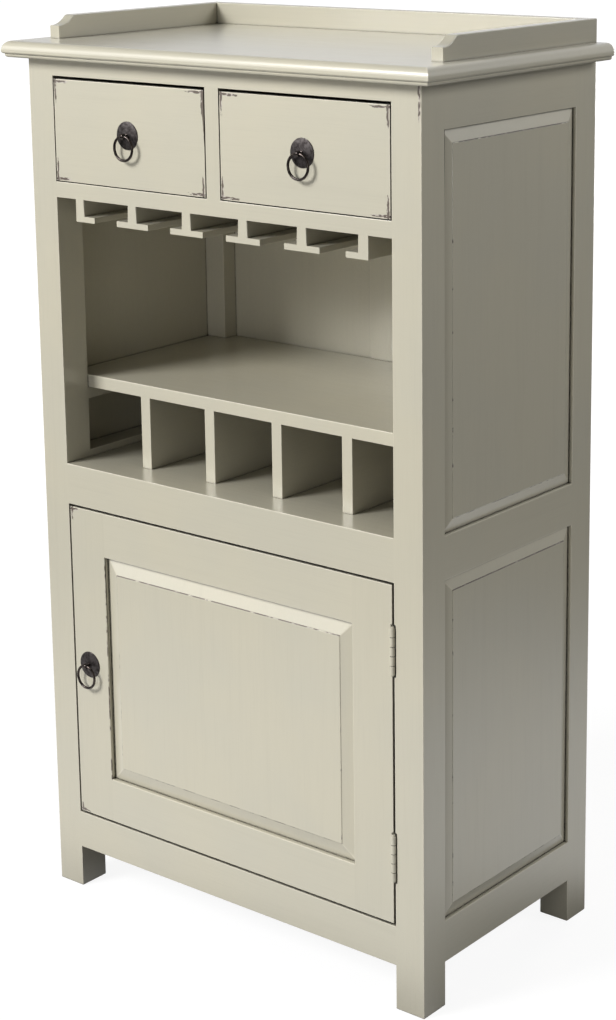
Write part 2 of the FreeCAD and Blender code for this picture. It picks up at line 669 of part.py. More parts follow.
def inner_boards(posts):
    """Boards that span the carcass, notched round the posts, and what stands on them."""
    wide = ("-side_rail_face", "side_rail_face")
    between_panels = ("-(side_panel_face - fitting_gap)", "side_panel_face - fitting_gap")
    deep = ("rail_rear", "back_frame_face")
    for label, x, y, z in (
        ("cupboard_floor", wide, deep, ("door_low - floor_thickness", "door_low")),
        ("bottle_floor", wide, deep, ("niche_low - floor_thickness", "niche_low")),
        ("bottle_shelf", between_panels, ("post_rear", "back_frame_face"), ("shelf_low", "shelf_high")),
        ("drawer_deck", between_panels, deep, ("niche_high", "drawer_low")),
    ):
        keep(label, cut(label, block(f"{label}_blank", x, y, z), list(posts.values())))
    outer = ("inner", "side_panel_face - fitting_gap")
    between_posts = ("post_rear", "back_post_face")
    for label, z in (
        ("shelf_cleats", ("shelf_low - cleat_height", "shelf_low")),
        ("floor_strips", ("niche_low", "niche_low + floor_strip_height")),
    ):
        keep(label, group(label, pair_of(label, outer, between_posts, z)))
    thickness = "cubby_divider_thickness"
    uprights = []
    for number in (-1.5, -0.5, 0.5, 1.5):
        x = (f"{number} * cubby_pitch - {thickness} / 2", f"{number} * cubby_pitch + {thickness} / 2")
        name = f"cubby_divider_{len(uprights)}"
        uprights.append(block(name, x, ("post_rear", "back_frame_face"), ("niche_low", "shelf_low")))
    keep("bottle_dividers", group("bottle_dividers", uprights))
    guide_rise = ("drawer_low", "drawer_low + guide_height")
    guides = pair_of("drawer_guide", outer, between_posts, guide_rise)
    middle = ("-drawer_divider_width / 2", "drawer_divider_width / 2")
    guides.append(block("drawer_guide_middle", middle, deep, guide_rise))
    keep("drawer_guides", group("drawer_guides", guides))


def pair_of(name, x, y, z):
    """The same board on the right and on the left."""
    return [block(f"{name}_right", x, y, z), block(f"{name}_left", mirrored_span(x), y, z)]


def pull(owner, across, height, wood):
    """A ring pull: round plate, split pin with an eye, and ring. Returns the pin's hole."""
    plate = DOC.addObject("PartDesign::Body", f"{owner}_plate")
    stand(plate, (across, "front", height), "front")
    profile = new_sketch(plate, f"{owner}_plate_profile", role="XZ_Plane")
    draw_plate(profile)
    turned = plate.newObject("PartDesign::Revolution", f"{owner}_plate_turned")
    turned.Profile = profile
    turned.ReferenceAxis = (profile, ["V_Axis"])
    turned.Angle = 360
    eye_place = "front - eye_reach"
    wood_rear = f"front + {wood}"
    eye_start = (f"{across} - eye_width / 2", eye_place, height)
    eye = rod(f"{owner}_eye", "eye_radius", eye_start, "eye_width", "right")
    shank = rod(f"{owner}_shank", "shank_radius", (across, f"{wood_rear} + leg_thickness", height),
                f"{wood} + leg_thickness + eye_reach", "front")
    legs = block(f"{owner}_legs", (f"{across} - leg_width / 2", f"{across} + leg_width / 2"),
                 (wood_rear, f"{wood_rear} + leg_thickness"),
                 (f"{height} - leg_length", f"{height} + leg_length"))
    bore = rod(f"{owner}_eye_bore", "eye_bore_radius", (f"{across} - eye_width", eye_place, height),
               "2 * eye_width", "right")
    split_pin = cut(f"{owner}_split_pin", fuse(f"{owner}_pin_blank", [eye, shank, legs]), [bore])
    keep(f"{owner}_pull", group(f"{owner}_pull", [plate, split_pin]))
    ring = DOC.addObject("Part::Torus", f"{owner}_ring")
    bind(ring, Radius1="ring_radius", Radius2="ring_wire_radius")
    stand(ring, (across, eye_place, f"{height} - ring_radius"), "front")
    keep(f"{owner}_ring", ring)
    return rod(f"{owner}_pin_hole", "shank_hole_radius", (across, f"{wood_rear} + 1", height),
               f"{wood} + 2", "front")


def draw_plate(sketch):
    """Half section of a back plate: flat behind, crowned in front, with a hole in the middle."""
    corners = (("shank_hole_radius", "0"), ("plate_radius", "0"), ("plate_radius", "plate_rim"),
               ("shank_hole_radius", "plate_crown"))
    points = [FreeCAD.Vector(measure(x), measure(y), 0) for x, y in corners]
    crown = (points[2] + points[3]) / 2 + FreeCAD.Vector(0, measure("plate_crown - plate_rim") / 4, 0)
    sketch.addGeometry(Part.LineSegment(points[0], points[1]))
    sketch.addGeometry(Part.LineSegment(points[1], points[2]))
    sketch.addGeometry(Part.Arc(points[2], crown, points[3]))
    sketch.addGeometry(Part.LineSegment(points[3], points[0]))
    for number in range(4):
        sketch.addConstraint(Sketcher.Constraint("Coincident", number, 2, (number + 1) % 4, 1))
    for number, (x, y) in enumerate(corners):
        pin_down(sketch, "DistanceX", x, number)
        pin_down(sketch, "DistanceY", y, number)


def hinges():
    """Two butt hinges. Returns what they need cut from the post and from the door."""
    frame_leaves = []
    door_leaves = []
    pins = []
    post_tools = []
    door_tools = []
    feet = (("upper", "door_high - upper_hinge_inset - hinge_length"),
            ("lower", "door_low + lower_hinge_inset"))
    for level, low in feet:
        rise = (f"{low} + knuckle_gap / 2", f"{low} + hinge_length - knuckle_gap / 2")
        y = ("hinge_forward", "front + leaf_width")
        outward = ("leaf_gap / 2", "leaf_gap / 2 + leaf_thickness")
        plates = {
            "frame": block(f"{level}_frame_plate", beside_pin(outward), y, rise),
            "door": block(f"{level}_door_plate", beside_pin(mirrored_span(outward)), y, rise),
        }
        knuckles = {"frame": [], "door": []}
        rooms = {"frame": [], "door": []}
        for number in range(5):
            owner, other = ("door", "frame") if number % 2 else ("frame", "door")
            foot = f"{low} + {number} * knuckle_pitch"
            knuckles[owner].append(barrel(f"{level}_knuckle_{number}", "knuckle_radius",
                                          f"{foot} + knuckle_gap / 2", "knuckle_pitch - knuckle_gap"))
            rooms[other].append(barrel(f"{level}_room_{number}", "barrel_room", foot, "knuckle_pitch"))
        bore = barrel(f"{level}_hinge_bore", "hinge_bore_radius", f"{low} - knuckle_gap",
                      "hinge_length + 2 * knuckle_gap")
        for owner, leaves in (("frame", frame_leaves), ("door", door_leaves)):
            plate = cut(f"{level}_{owner}_cleared", plates[owner], rooms[owner])
            blank = fuse(f"{level}_{owner}_leaf_blank", [plate, *knuckles[owner]])
            leaves.append(cut(f"{level}_{owner}_leaf", blank, [bore]))
        pins.append(hinge_pin(level, low))
        socket = barrel(f"{level}_barrel_socket", "barrel_room",
                        f"{low} - hinge_pin_head_height - barrel_end_gap",
                        "hinge_length + 2 * (hinge_pin_head_height + barrel_end_gap)")
        post_tools += [plates["frame"], socket]
        door_tools += [plates["door"], socket]
    keep("hinge_frame_leaves", group("hinge_frame_leaves", frame_leaves))
    keep("hinge_door_leaves", group("hinge_door_leaves", door_leaves))
    keep("hinge_pins", group("hinge_pins", pins))
    return post_tools, door_tools


def beside_pin(span):
    """A span measured sideways from the hinge pin."""
    return f"hinge_across + ({span[0]})", f"hinge_across + ({span[1]})"


def barrel(name, radius, foot, length):
    """A round bar on the hinge pin's axis."""
    return rod(name, radius, ("hinge_across", "hinge_forward", foot), length)


def hinge_pin(level, low):
    """A hinge pin with a button tip at each end."""
    first = f"{low} + knuckle_gap / 2"
    long = "hinge_length - knuckle_gap"
    return fuse(f"{level}_pin", [
        barrel(f"{level}_pin_shaft", "hinge_pin_radius", first, long),
        barrel(f"{level}_pin_foot", "hinge_pin_head_radius", f"{first} - hinge_pin_head_height",
               "hinge_pin_head_height"),
        barrel(f"{level}_pin_head", "hinge_pin_head_radius", f"{first} + {long}", "hinge_pin_head_height"),
    ])


def door(hinge_tools):
    """The door: tenoned frame, raised panel, ring pull and catch plate."""
    y = ("front", "door_rear")
    sight_x = ("-door_sight", "door_sight")
    sight_z = ("door_foot + door_member_width", "door_head - door_member_width")
    edge = ("door_panel_rear - door_tongue_thickness", "door_panel_rear")
    groove = panel_groove("door_panel", sight_x, edge, sight_z, "y")
    raised_panel("door_panel", ("0", "door_panel_rear", f"({sight_z[0]} + {sight_z[1]}) / 2"), "front",
                 ("2 * door_sight", f"({sight_z[1]} - ({sight_z[0]}))"),
                 "door_bevel_width", "door_bevel_depth", "door_tongue_thickness")
    tenons = []
    for label, rise in (("door_bottom_rail", ("door_foot", sight_z[0])),
                        ("door_top_rail", (sight_z[1], "door_head"))):
        piece, tool = rail(label, "x", sight_x, y, rise, "wide_shoulder", [groove])
        keep(label, piece)
        tenons.append(tool)
    pull_height = "(door_foot + door_head) / 2"
    hole = pull("door", "-door_half + door_pull_inset", pull_height, "door_thickness")
    rise = ("door_foot", "door_head")
    latch = block("latch_stile_blank", ("-door_half", "-door_sight"), y, rise)
    keep("door_latch_stile", cut("door_latch_stile", latch, [groove, *tenons, hole]))
    hinge = block("hinge_stile_blank", ("door_sight", "door_half"), y, rise)
    keep("door_hinge_stile", cut("door_hinge_stile", hinge, [groove, *tenons, *hinge_tools]))


def catch():
    """Magnetic catch behind the middle rail, and the steel plate on the door that it holds."""
    x = ("catch_left", "catch_left + catch_width")
    mount = block("catch_mount", x, ("rail_rear", "catch_face + catch_depth"),
                  ("door_high", "door_high + catch_mount_height"))
    magnet = block("catch_magnet", x, ("catch_face", "catch_face + catch_depth"),
                   ("door_high - catch_drop", "door_high"))
    keep("door_catch", fuse("door_catch", [mount, magnet]))
    plate_x = ("catch_middle - catch_plate_width / 2", "catch_middle + catch_plate_width / 2")
    plate_y = ("door_rear", "door_rear + catch_plate_thickness")
    plate_z = ("catch_plate_middle - catch_plate_height / 2", "catch_plate_middle + catch_plate_height / 2")
    keep("catch_plate", block("catch_plate", plate_x, plate_y, plate_z))


def drawer(side):
    """One drawer: inset front, two sides let into it, back, bottom in a groove, and ring pull."""
    label = f"{side}_drawer"
    opening = ("drawer_divider_width / 2", "inner")
    across = "drawer_pull_across"
    if side == "left":
        opening = mirrored_span(opening)
        across = "-drawer_pull_across"
    face_x = widened(opening, "-drawer_side_gap")
    box_x = widened(opening, "-drawer_run_gap")
    inside_x = widened(box_x, "-drawer_board_thickness")
    side_y = ("drawer_front_rear - drawer_joint_depth", "drawer_end")
    side_z = ("drawer_base", "drawer_side_top")
    boards = [
        block(f"{label}_side_low", (box_x[0], inside_x[0]), side_y, side_z),
        block(f"{label}_side_high", (inside_x[1], box_x[1]), side_y, side_z),
    ]
    bottom = block(f"{label}_bottom", widened(inside_x, "drawer_bottom_groove"),
                   ("drawer_front_rear - drawer_bottom_groove", "drawer_end"),
                   ("drawer_bottom_low", "drawer_bottom_high"))
    hole = pull(label, across, "drawer_pull_height", "drawer_front_thickness")
    face = block(f"{label}_face", face_x, ("front", "drawer_front_rear"),
                 ("drawer_low + drawer_foot_gap", "drawer_front_top"))
    keep(f"{label}_front", cut(f"{label}_front", face, [*boards, bottom, hole]))
    sides = [cut(f"{board.Name}_grooved", board, [bottom]) for board in boards]
    keep(f"{label}_sides", group(f"{label}_sides", sides))
    back_y = ("drawer_end - drawer_board_thickness", "drawer_end")
    back_z = ("drawer_bottom_high", "drawer_side_top")
    keep(f"{label}_back", block(f"{label}_back", inside_x, back_y, back_z))
    keep(f"{label}_bottom", bottom)


def carcass(hinge_tools):
    """Posts, rails, panels and boards that stay still."""
    posts = post_blanks()
    tools = {label: [] for label in posts}
    front_tools = front_frame()
    back_tools = back_frame()
    side_tools = {side: side_frame(side) for side in ("left", "right")}
    for side in ("left", "right"):
        tools[f"front_{side}_post"] += front_tools + side_tools[side]
        tools[f"back_{side}_post"] += back_tools + side_tools[side]
    tools["front_right_post"] += hinge_tools
    for label, blank in posts.items():
        keep(label, cut(label, blank, tools[label]))
    inner_boards(posts)
    stemware_rack()
    top_board()
    gallery()


def check_document():
    """Stop before anything is written if an object failed or a shape is bad."""
    for thing in DOC.Objects:
        if "Invalid" in thing.State or "Error" in thing.State:
            raise RuntimeError(f"{thing.Name} failed: {thing.State}")
    for thing in NODES:
        if thing.Shape.isNull() or not thing.Shape.isValid() or not thing.Shape.Solids:
            raise RuntimeError(f"{thing.Label} has no valid solid")


def write_parts():
    """Write one file for each node."""
    os.makedirs("parts", exist_ok=True)
    for thing in NODES:
        thing.Shape.exportStep(f"parts/{thing.Label}.step")
    print(len(NODES), "nodes with", sum(len(thing.Shape.Solids) for thing in NODES), "solids")


fill_sheet()
post_hinge_tools, door_hinge_tools = hinges()
carcass(post_hinge_tools)
door(door_hinge_tools)
catch()
drawer("left")
drawer("right")
DOC.recompute()
check_document()
write_parts()
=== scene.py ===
"""Looks of a painted wine cabinet: eased and rubbed paint, ring pulls, hinges, drawers and stage."""
import json
import math
import random
from contextlib import contextmanager

import bmesh
import bpy
import numpy as np
from bpy.props import FloatProperty, FloatVectorProperty, IntProperty, PointerProperty
from mathutils import Matrix, Vector
from mathutils.bvhtree import BVHTree


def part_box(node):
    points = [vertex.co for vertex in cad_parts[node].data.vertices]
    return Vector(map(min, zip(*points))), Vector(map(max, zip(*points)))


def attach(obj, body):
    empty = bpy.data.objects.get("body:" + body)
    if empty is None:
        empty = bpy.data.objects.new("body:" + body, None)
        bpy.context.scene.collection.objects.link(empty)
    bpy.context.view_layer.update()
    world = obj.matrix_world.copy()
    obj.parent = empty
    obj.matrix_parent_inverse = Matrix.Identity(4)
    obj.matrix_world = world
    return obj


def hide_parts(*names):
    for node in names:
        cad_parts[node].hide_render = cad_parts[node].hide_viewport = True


bl_info = {
    "name": "Painted wine cabinet",
    "version": (1, 0, 0),
    "blender": (4, 5, 0),
    "location": "View3D > Sidebar > Cabinet",
    "description": "Dresses the frame of a wine cabinet in rubbed paint and models its hardware",
    "category": "Object",
}

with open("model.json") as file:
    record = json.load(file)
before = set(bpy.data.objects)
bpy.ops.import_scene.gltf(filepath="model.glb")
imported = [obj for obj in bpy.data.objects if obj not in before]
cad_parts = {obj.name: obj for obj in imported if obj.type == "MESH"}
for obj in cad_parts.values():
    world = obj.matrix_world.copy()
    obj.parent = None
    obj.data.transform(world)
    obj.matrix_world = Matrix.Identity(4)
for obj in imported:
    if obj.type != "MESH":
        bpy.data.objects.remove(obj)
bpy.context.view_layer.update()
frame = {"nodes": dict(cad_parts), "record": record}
BODY_OF = {node: body for body, nodes in frame["record"]["behaviour"]["bodies"].items() for node in nodes}
TOP_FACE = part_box("top_board")[1].z
MILLIMETRE = 0.001
FRONT = Vector((0, -1, 0))
REAR = Vector((0, 1, 0))

# An edge that turns by more than the sharp angle is eased; one that turns by less than the round angle is
# shaded smooth. The bevels of a raised panel are so low that it has angles of its own.
SHARP = math.radians(20)
SHARP_ON_PANEL = math.radians(8)
ROUND = math.radians(38)
ROUND_ON_PANEL = math.radians(4)


def screen(red, green, blue):
    """A colour as a screen shows it, from 0 to 255, made linear."""
    shares = (part / 255 for part in (red, green, blue))
    return tuple(s / 12.92 if s <= 0.04045 else ((s + 0.055) / 1.055) ** 2.4 for s in shares)


def colour(name, description, default):
    """A colour that a user may change."""
    return FloatVectorProperty(name=name, description=description, default=default,
                               subtype="COLOR", size=3, min=0, max=1)


def length(name, description, millimetres):
    """A size that a user may change."""
    return FloatProperty(name=name, description=description, default=millimetres * MILLIMETRE,
                         min=0, unit="LENGTH", precision=5)


def share(name, description, default):
    """A share from nothing to all."""
    return FloatProperty(name=name, description=description, default=default,
                         min=0, max=1, subtype="FACTOR")


class CabinetPaint(bpy.types.PropertyGroup):
    """Sage-cream paint, its umber, the painted shade and highlights mixed into it, and the wood that shows
    where it is rubbed through.
    """
    warm: colour("Warm paint", "Paint where it looks creamy", screen(209, 203, 182))
    cool: colour("Cool paint", "Paint where it looks sage", screen(206, 201, 182))
    # Painted highlight: a paler paint laid along the eased arrises, where light catches them
    painted_arris_highlight: colour("Polished paint", "Paint smoothed by hands along an arris", screen(232, 225, 206))
    # Umber for the brush marks; the same colour is also laid in as painted shade where flat faces meet, and
    # darkens the paint towards the floor
    glaze_and_shade: colour("Glaze", "Umber glaze that stays in corners and brush marks", screen(84, 72, 54))
    # Painted shade deep in the gaps between boards
    gap: colour("Gap", "Darkness deep in a gap between boards", screen(14, 11, 8))
    # Painted shade that dulls the paint inside the niche and cubbies, and on the rim
    shade: colour("Shade", "Dust that dulls the paint inside the niche and cubbies", screen(64, 63, 58))
    smear: colour("Smear", "Thin, pale paint round a rubbed place", screen(206, 195, 191))
    wood: colour("Bare wood", "Stained wood under the paint", screen(74, 58, 46))
    gloss: share("Roughness", "Roughness of the semi-gloss paint", 0.36)
    arris: length("Arris", "Eased edge of a painted board", 1.1)
    rim_arris: length("Rim arris", "Eased edge of the rim on the top", 0.7)
    rub: share("Rub", "How much of a plain arris is rubbed through", 0.06)
    field_rub: share("Field rub", "Rub on the top edges of raised fields", 0.42)
    rim_rub: share("Rim rub", "Rub on the edges of the rim on the top", 0.252)
    heavy_rub: share("Heavy rub", "Rub on the edges that hands reach most", 0.32)
    stroke_reach: length("Stroke reach", "How far strokes of wear run along the edges from a corner", 36)
    stroke_band: length("Stroke band", "How far strokes of wear lie from an edge", 6)
    wedge_width: length("Wedge", "Bare wedge along the edge of the left drawer, at its top", 3.4)
    # Reach of the painted shade laid in where flat faces meet
    crevice_shade: length("Crevice", "How near another board has to be for glaze to stay", 1.5)
    # Reach of the painted shade in narrow gaps
    gap_shade_reach: length("Gap reach", "How near both walls of a gap have to be for it to look dark", 5)
    shade_reach: length("Shade reach", "How far boards round a space dull the paint in it", 220)
    # Height up to which the paint is made darker towards the floor
    darkening_height: length("Scuff height", "How high dirt from the floor reaches", 70)


class CabinetHardware(bpy.types.PropertyGroup):
    """Ring pulls, screws and the magnetic catch."""
    iron: colour("Iron", "Dark pewter of the back plates", screen(92, 87, 86))
    iron_worn: colour("Worn iron", "Rings and pins, smooth from handling", screen(74, 66, 62))
    iron_dark: colour("Dark iron", "Patina in the hollows of the pulls", screen(50, 45, 44))
    steel: colour("Steel", "Bright steel of screws and catch plate", screen(176, 174, 168))
    housing: colour("Housing", "Moulded catch housing", screen(124, 97, 74))
    rim: length("Plate rim", "Thickness of a back plate at its rim", 1.1)
    crown: length("Plate crown", "Thickness of a back plate at its middle", 2.3)
    plate_steps: IntProperty(name="Plate steps", description="Turned steps of a back plate", default=6, min=2)
    shank: length("Pin shank", "Radius of a split pin where it leaves the plate", 1.8)
    hinge_length: length("Hinge", "Length of a butt hinge", 55.5)
    screw_head: length("Screw head", "Radius of a screw's head", 2.3)
    screw_slot: length("Screw slot", "Width of a screw's slot", 0.6)


class CabinetDrawerWood(bpy.types.PropertyGroup):
    """Bare wood of the drawer boxes."""
    light: colour("Early wood", "Light wood between the rings", screen(186, 148, 104))
    dark: colour("Late wood", "Dark lines of the grain", screen(139, 98, 62))
    arris: length("Arris", "Eased edge of a drawer board", 0.6)


class CabinetStage(bpy.types.PropertyGroup):
    """Camera, floor and lamps."""
    eye: FloatVectorProperty(name="Eye", description="Place of the camera", size=3, subtype="XYZ",
                             unit="LENGTH", default=(1.6449, -1.9664, 1.2904))
    azimuth: FloatProperty(name="Azimuth", description="Camera round to the right of the front",
                           subtype="ANGLE", default=math.radians(38.63474))
    elevation: FloatProperty(name="Elevation", description="Camera looking down", subtype="ANGLE",
                             default=math.radians(12.15301))
    roll: FloatProperty(name="Roll", description="Camera turned about its own axis", subtype="ANGLE",
                        default=math.radians(-0.57447))
    lens: FloatProperty(name="Lens", description="Focal length in millimetres", default=77.17)
    shift: FloatVectorProperty(name="Shift", description="Off-centre framing of the photograph", size=2,
                               default=(-0.0437, -0.1797))
    floor: colour("Floor", "Pale floor", (0.4, 0.4, 0.4))
    floor_width: FloatProperty(name="Floor width", description="Side of the floor", default=40, unit="LENGTH")
    floor_white: share("White floor", "How far the floor is lifted to white", 0.6)
    floor_bounce: share("Floor bounce", "How much of the floor's light reaches the cabinet", 0.5)
    window: FloatProperty(name="Window", description="Soft light from the upper left", default=0.24, min=0)
    box: FloatProperty(name="Box", description="Bright box at the front left, seen in the gloss",
                       default=2.3, min=0)
    key: FloatProperty(name="Key", description="Power of the lamp at the front left, in watts", default=457)
    front: FloatProperty(name="Front", description="Power of the low lamp in front, in watts", default=58)
    side: FloatProperty(name="Side", description="Power of the lamp on the right, in watts", default=54)
    back: FloatProperty(name="Back", description="Power of the lamp behind, in watts", default=170)


@contextmanager
def editing(piece):
    """Edit one object alone, and leave edit mode afterwards."""
    make_active(piece)
    bpy.ops.object.mode_set(mode="EDIT")
    yield
    bpy.ops.object.mode_set(mode="OBJECT")


def make_active(piece):
    """Select one object alone."""
    bpy.ops.object.select_all(action="DESELECT")
    piece.select_set(True)
    bpy.context.view_layer.objects.active = piece


def settled():
    """The primitive just added, with its place and turn kept in its mesh."""
    bpy.ops.object.transform_apply(location=True, rotation=True, scale=True)
    return bpy.context.object


def pick(piece, kind, test):
    """In edit mode, select the faces or edges that pass a test, and nothing else."""
    bpy.ops.mesh.select_mode(type="FACE" if kind == "faces" else "EDGE")
    bpy.ops.mesh.select_all(action="DESELECT")
    mesh = bmesh.from_edit_mesh(piece.data)
    for part in getattr(mesh, kind):
        if test(part):
            part.select_set(True)
    mesh.select_flush_mode()
    bmesh.update_edit_mesh(piece.data)


def apply_modifier(piece, kind, **settings):
    """Add a modifier and apply it."""
    make_active(piece)
    modifier = piece.modifiers.new(kind.title(), kind)
    for name, value in settings.items():
        setattr(modifier, name, value)
    bpy.ops.object.modifier_apply(modifier=modifier.name)


def finish_shading(piece, angle=ROUND):
    """Smooth rounds and keep flats flat."""
    make_active(piece)
    bpy.ops.object.shade_smooth_by_angle(angle=angle)
    apply_modifier(piece, "WEIGHTED_NORMAL", keep_sharp=True)


def place_piece(piece, node, material):
    """Let a piece stand for a node: same body and its finish."""
    piece.data.materials.clear()
    piece.data.materials.append(material)
    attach(piece, BODY_OF[node])
    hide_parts(node)
    return piece


def merged_copy(node, name):
    """A copy of a CAD node, its loose triangles merged into flat faces."""
    mesh = frame["nodes"][node].data.copy()
    mesh.materials.clear()
    piece = bpy.data.objects.new(name, mesh)
    bpy.context.scene.collection.objects.link(piece)
    make_active(piece)
    bpy.ops.mesh.customdata_custom_splitnormals_clear()
    with editing(piece):
        bpy.ops.mesh.select_all(action="SELECT")
        bpy.ops.mesh.remove_doubles(threshold=0.01 * MILLIMETRE)
        bpy.ops.mesh.dissolve_limited(angle_limit=math.radians(0.5))
    return piece


def box_array(node):
    """Low and high corners of a node as an array."""
    return np.array([tuple(corner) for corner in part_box(node)])


NODE_BOXES = {node: box_array(node) for node in frame["nodes"]}
NODE_TREES = {}


def solid_tree(node):
    """A search tree of a node's faces."""
    if node not in NODE_TREES:
        mesh = frame["nodes"][node].data
        NODE_TREES[node] = BVHTree.FromPolygons([v.co for v in mesh.vertices],
                                                [p.vertices[:] for p in mesh.polygons])
    return NODE_TREES[node]


def neighbours(node):
    """Nodes whose boxes touch this one's."""
    low, high = NODE_BOXES[node]
    room = 0.2 * MILLIMETRE
    return [other for other, box in NODE_BOXES.items()
            if other != node and np.all(box[0] < high + room) and np.all(box[1] > low - room)]


def inside(point, trees):
    """Whether a point lies just under the surface of any of the solids."""
    for tree in trees:
        nearest, normal = tree.find_nearest(point, MILLIMETRE)[:2]
        if nearest is not None and (point - nearest).dot(normal) < 0:
            return True
    return False


def is_sharp(edge, least):
    """Whether two faces meet at an outer edge that turns by at least an angle."""
    return len(edge.link_faces) == 2 and edge.calc_face_angle_signed() > least


def has_room(edge):
    """Whether no edge at either end is a facet of a round that is eased already."""
    facet = 0.2 * MILLIMETRE
    return all(other.calc_length() > facet for vertex in edge.verts for other in vertex.link_edges)


def split_at_neighbours(mesh, corners, least):
    """Split sharp edges where a neighbour's corner lies on them."""
    close = 0.02 * MILLIMETRE
    for edge in [edge for edge in mesh.edges if is_sharp(edge, least)]:
        start = np.array(edge.verts[0].co)
        run = np.array(edge.verts[1].co) - start
        along = (corners - start) @ run / (run @ run)
        off = np.linalg.norm(corners - start - np.outer(along, run), axis=1)
        margin = close / np.linalg.norm(run)
        places = np.unique(np.round(along[(off < close) & (along > margin) & (along < 1 - margin)], 6))
        first = edge.verts[0]
        done = 0.0
        for place in places:
            edge, vertex = bmesh.utils.edge_split(edge, first, (place - done) / (1 - done))
            edge = next(e for e in vertex.link_edges if first not in e.verts)
            first = vertex
            done = place


def touches(edge, trees):
    """Whether a neighbour lies against either side of an edge."""
    middle = (edge.verts[0].co + edge.verts[1].co) / 2
    one, other = (face.normal * 0.4 * MILLIMETRE for face in edge.link_faces)
    return inside(middle + one - other, trees) or inside(middle - one + other, trees)


def ease_free_arrises(piece, node, width, rub, least):
    """Round the outer edges that meet no other board, and note how far they are rubbed."""
    beside = neighbours(node)
    trees = [solid_tree(other) for other in beside]
    corners = [np.array([v.co[:] for v in frame["nodes"][other].data.vertices]) for other in beside]

    def is_free(edge):
        """Whether an edge is to be eased."""
        return is_sharp(edge, least) and has_room(edge) and not touches(edge, trees)

    with editing(piece):
        if corners:
            mesh = bmesh.from_edit_mesh(piece.data)
            split_at_neighbours(mesh, np.concatenate(corners), least)
            bmesh.update_edit_mesh(piece.data)
        pick(piece, "edges", is_free)
        for flat_or_eased in range(2):
            piece.data.materials.append(None)
        bpy.ops.mesh.bevel(offset=width, segments=2, profile=0.5, affect="EDGES", material=1,
                           loop_slide=True, clamp_overlap=False)
    level = rub if callable(rub) else lambda at: rub
    rubbed = [level(face.center) if face.material_index else 0.0 for face in piece.data.polygons]
    piece.data.polygons.foreach_set("material_index", [0] * len(rubbed))
    piece.data.attributes.new("rub", "FLOAT", "FACE").data.foreach_set("value", rubbed)


def dress_board(node, name, width, rub, material, is_panel=False):
    """A board with eased arrises in place of its CAD node; the low slopes of a raised panel stay crisp."""
    piece = merged_copy(node, name)
    ease_free_arrises(piece, node, width, rub, SHARP_ON_PANEL if is_panel else SHARP)
    finish_shading(piece, ROUND_ON_PANEL if is_panel else ROUND)
    tone = random.Random(node).uniform(-1, 1)
    faces = len(piece.data.polygons)
    piece.data.attributes.new("tone", "FLOAT", "FACE").data.foreach_set("value", [tone] * faces)
    return place_piece(piece, node, material)


def paint_boards(nodes, grain, rub=None, width=None, wear=None):
    """Painted boards whose grain runs the same way; rub is a level, or gives one for each place."""
    paint = bpy.context.scene.cabinet_paint
    for node in nodes:
        dress_board(node, f"painted_{node}", width or paint.arris, paint.rub if rub is None else rub,
                    paint_material(grain, wear))


def paint_panel(node):
    """A raised panel, rubbed most along the top of its field and not along the mitres of its bevels."""
    paint = bpy.context.scene.cabinet_paint
    low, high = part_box(node)
    thin = min(range(3), key=lambda axis: high[axis] - low[axis])
    border = 60 * MILLIMETRE
    at_foot = 0.8 * paint.field_rub
    at_sides = 0.6 * paint.field_rub

    def level(at):
        """Rub at a place on the panel."""
        if min(at[thin] - low[thin], high[thin] - at[thin]) > MILLIMETRE:
            return paint.rub
        if at.z > high.z - border:
            return paint.field_rub
        return at_foot if at.z < low.z + border else at_sides

    dress_board(node, f"painted_{node}", paint.arris, level, paint_material("z"),
                is_panel=True)


def worn_box(low, high, along="xz", wedge=False, extent=1.0):
    """Wear near the corners of a box, along the edges that run along the given axes."""
    reach = extent * bpy.context.scene.cabinet_paint.stroke_reach
    return {"low": low, "high": high, "wedge": wedge,
            "reach": Vector([reach if axis in along else 0 for axis in "xyz"])}


def add_node(tree, kind, inputs=None, **settings):
    """A shader node with its settings made and its inputs set or linked."""
    made = tree.nodes.new(kind)
    for name, value in settings.items():
        setattr(made, name, value)
    for name, value in (inputs or {}).items():
        if isinstance(value, bpy.types.NodeSocket):
            tree.links.new(value, made.inputs[name])
        else:
            made.inputs[name].default_value = value
    return made


def new_material(name):
    """A material with its node tree and main shader."""
    material = bpy.data.materials.new(name)
    material.use_nodes = True
    return material, material.node_tree, material.node_tree.nodes["Principled BSDF"]


def object_place(tree):
    """Coordinates of the piece itself, which are the cabinet's own at rest."""
    return add_node(tree, "ShaderNodeTexCoord").outputs["Object"]


def noise(tree, place, scale, detail=3.0, roughness=0.5):
    """Soft random marks; scale gives marks for each metre, one number or one for each axis."""
    if isinstance(scale, tuple):
        place = add_node(tree, "ShaderNodeMapping", {"Vector": place, "Scale": scale}).outputs["Vector"]
        scale = 1.0
    return add_node(tree, "ShaderNodeTexNoise", {
        "Vector": place, "Scale": scale, "Detail": detail, "Roughness": roughness}).outputs["Fac"]


def ramp(tree, value, low, high, start=0.0, end=1.0):
    """A value from low to high brought to start to end, and held there."""
    return add_node(tree, "ShaderNodeMapRange", {
        "Value": value, "From Min": low, "From Max": high, "To Min": start, "To Max": end,
    }, interpolation_type="SMOOTHSTEP").outputs["Result"]


def maths(tree, operation, one, other=0.0, third=0.0):
    """Values joined by one operation."""
    made = add_node(tree, "ShaderNodeMath", {0: one, 1: other, 2: third}, operation=operation)
    return made.outputs["Value"]


def vectors(tree, operation, one, other=(0, 0, 0)):
    """Vectors joined by one operation, which gives a vector, or a value for a length or a dot product."""
    made = add_node(tree, "ShaderNodeVectorMath", {0: one, 1: other}, operation=operation)
    return made.outputs["Value" if operation in ("LENGTH", "DOT_PRODUCT") else "Vector"]


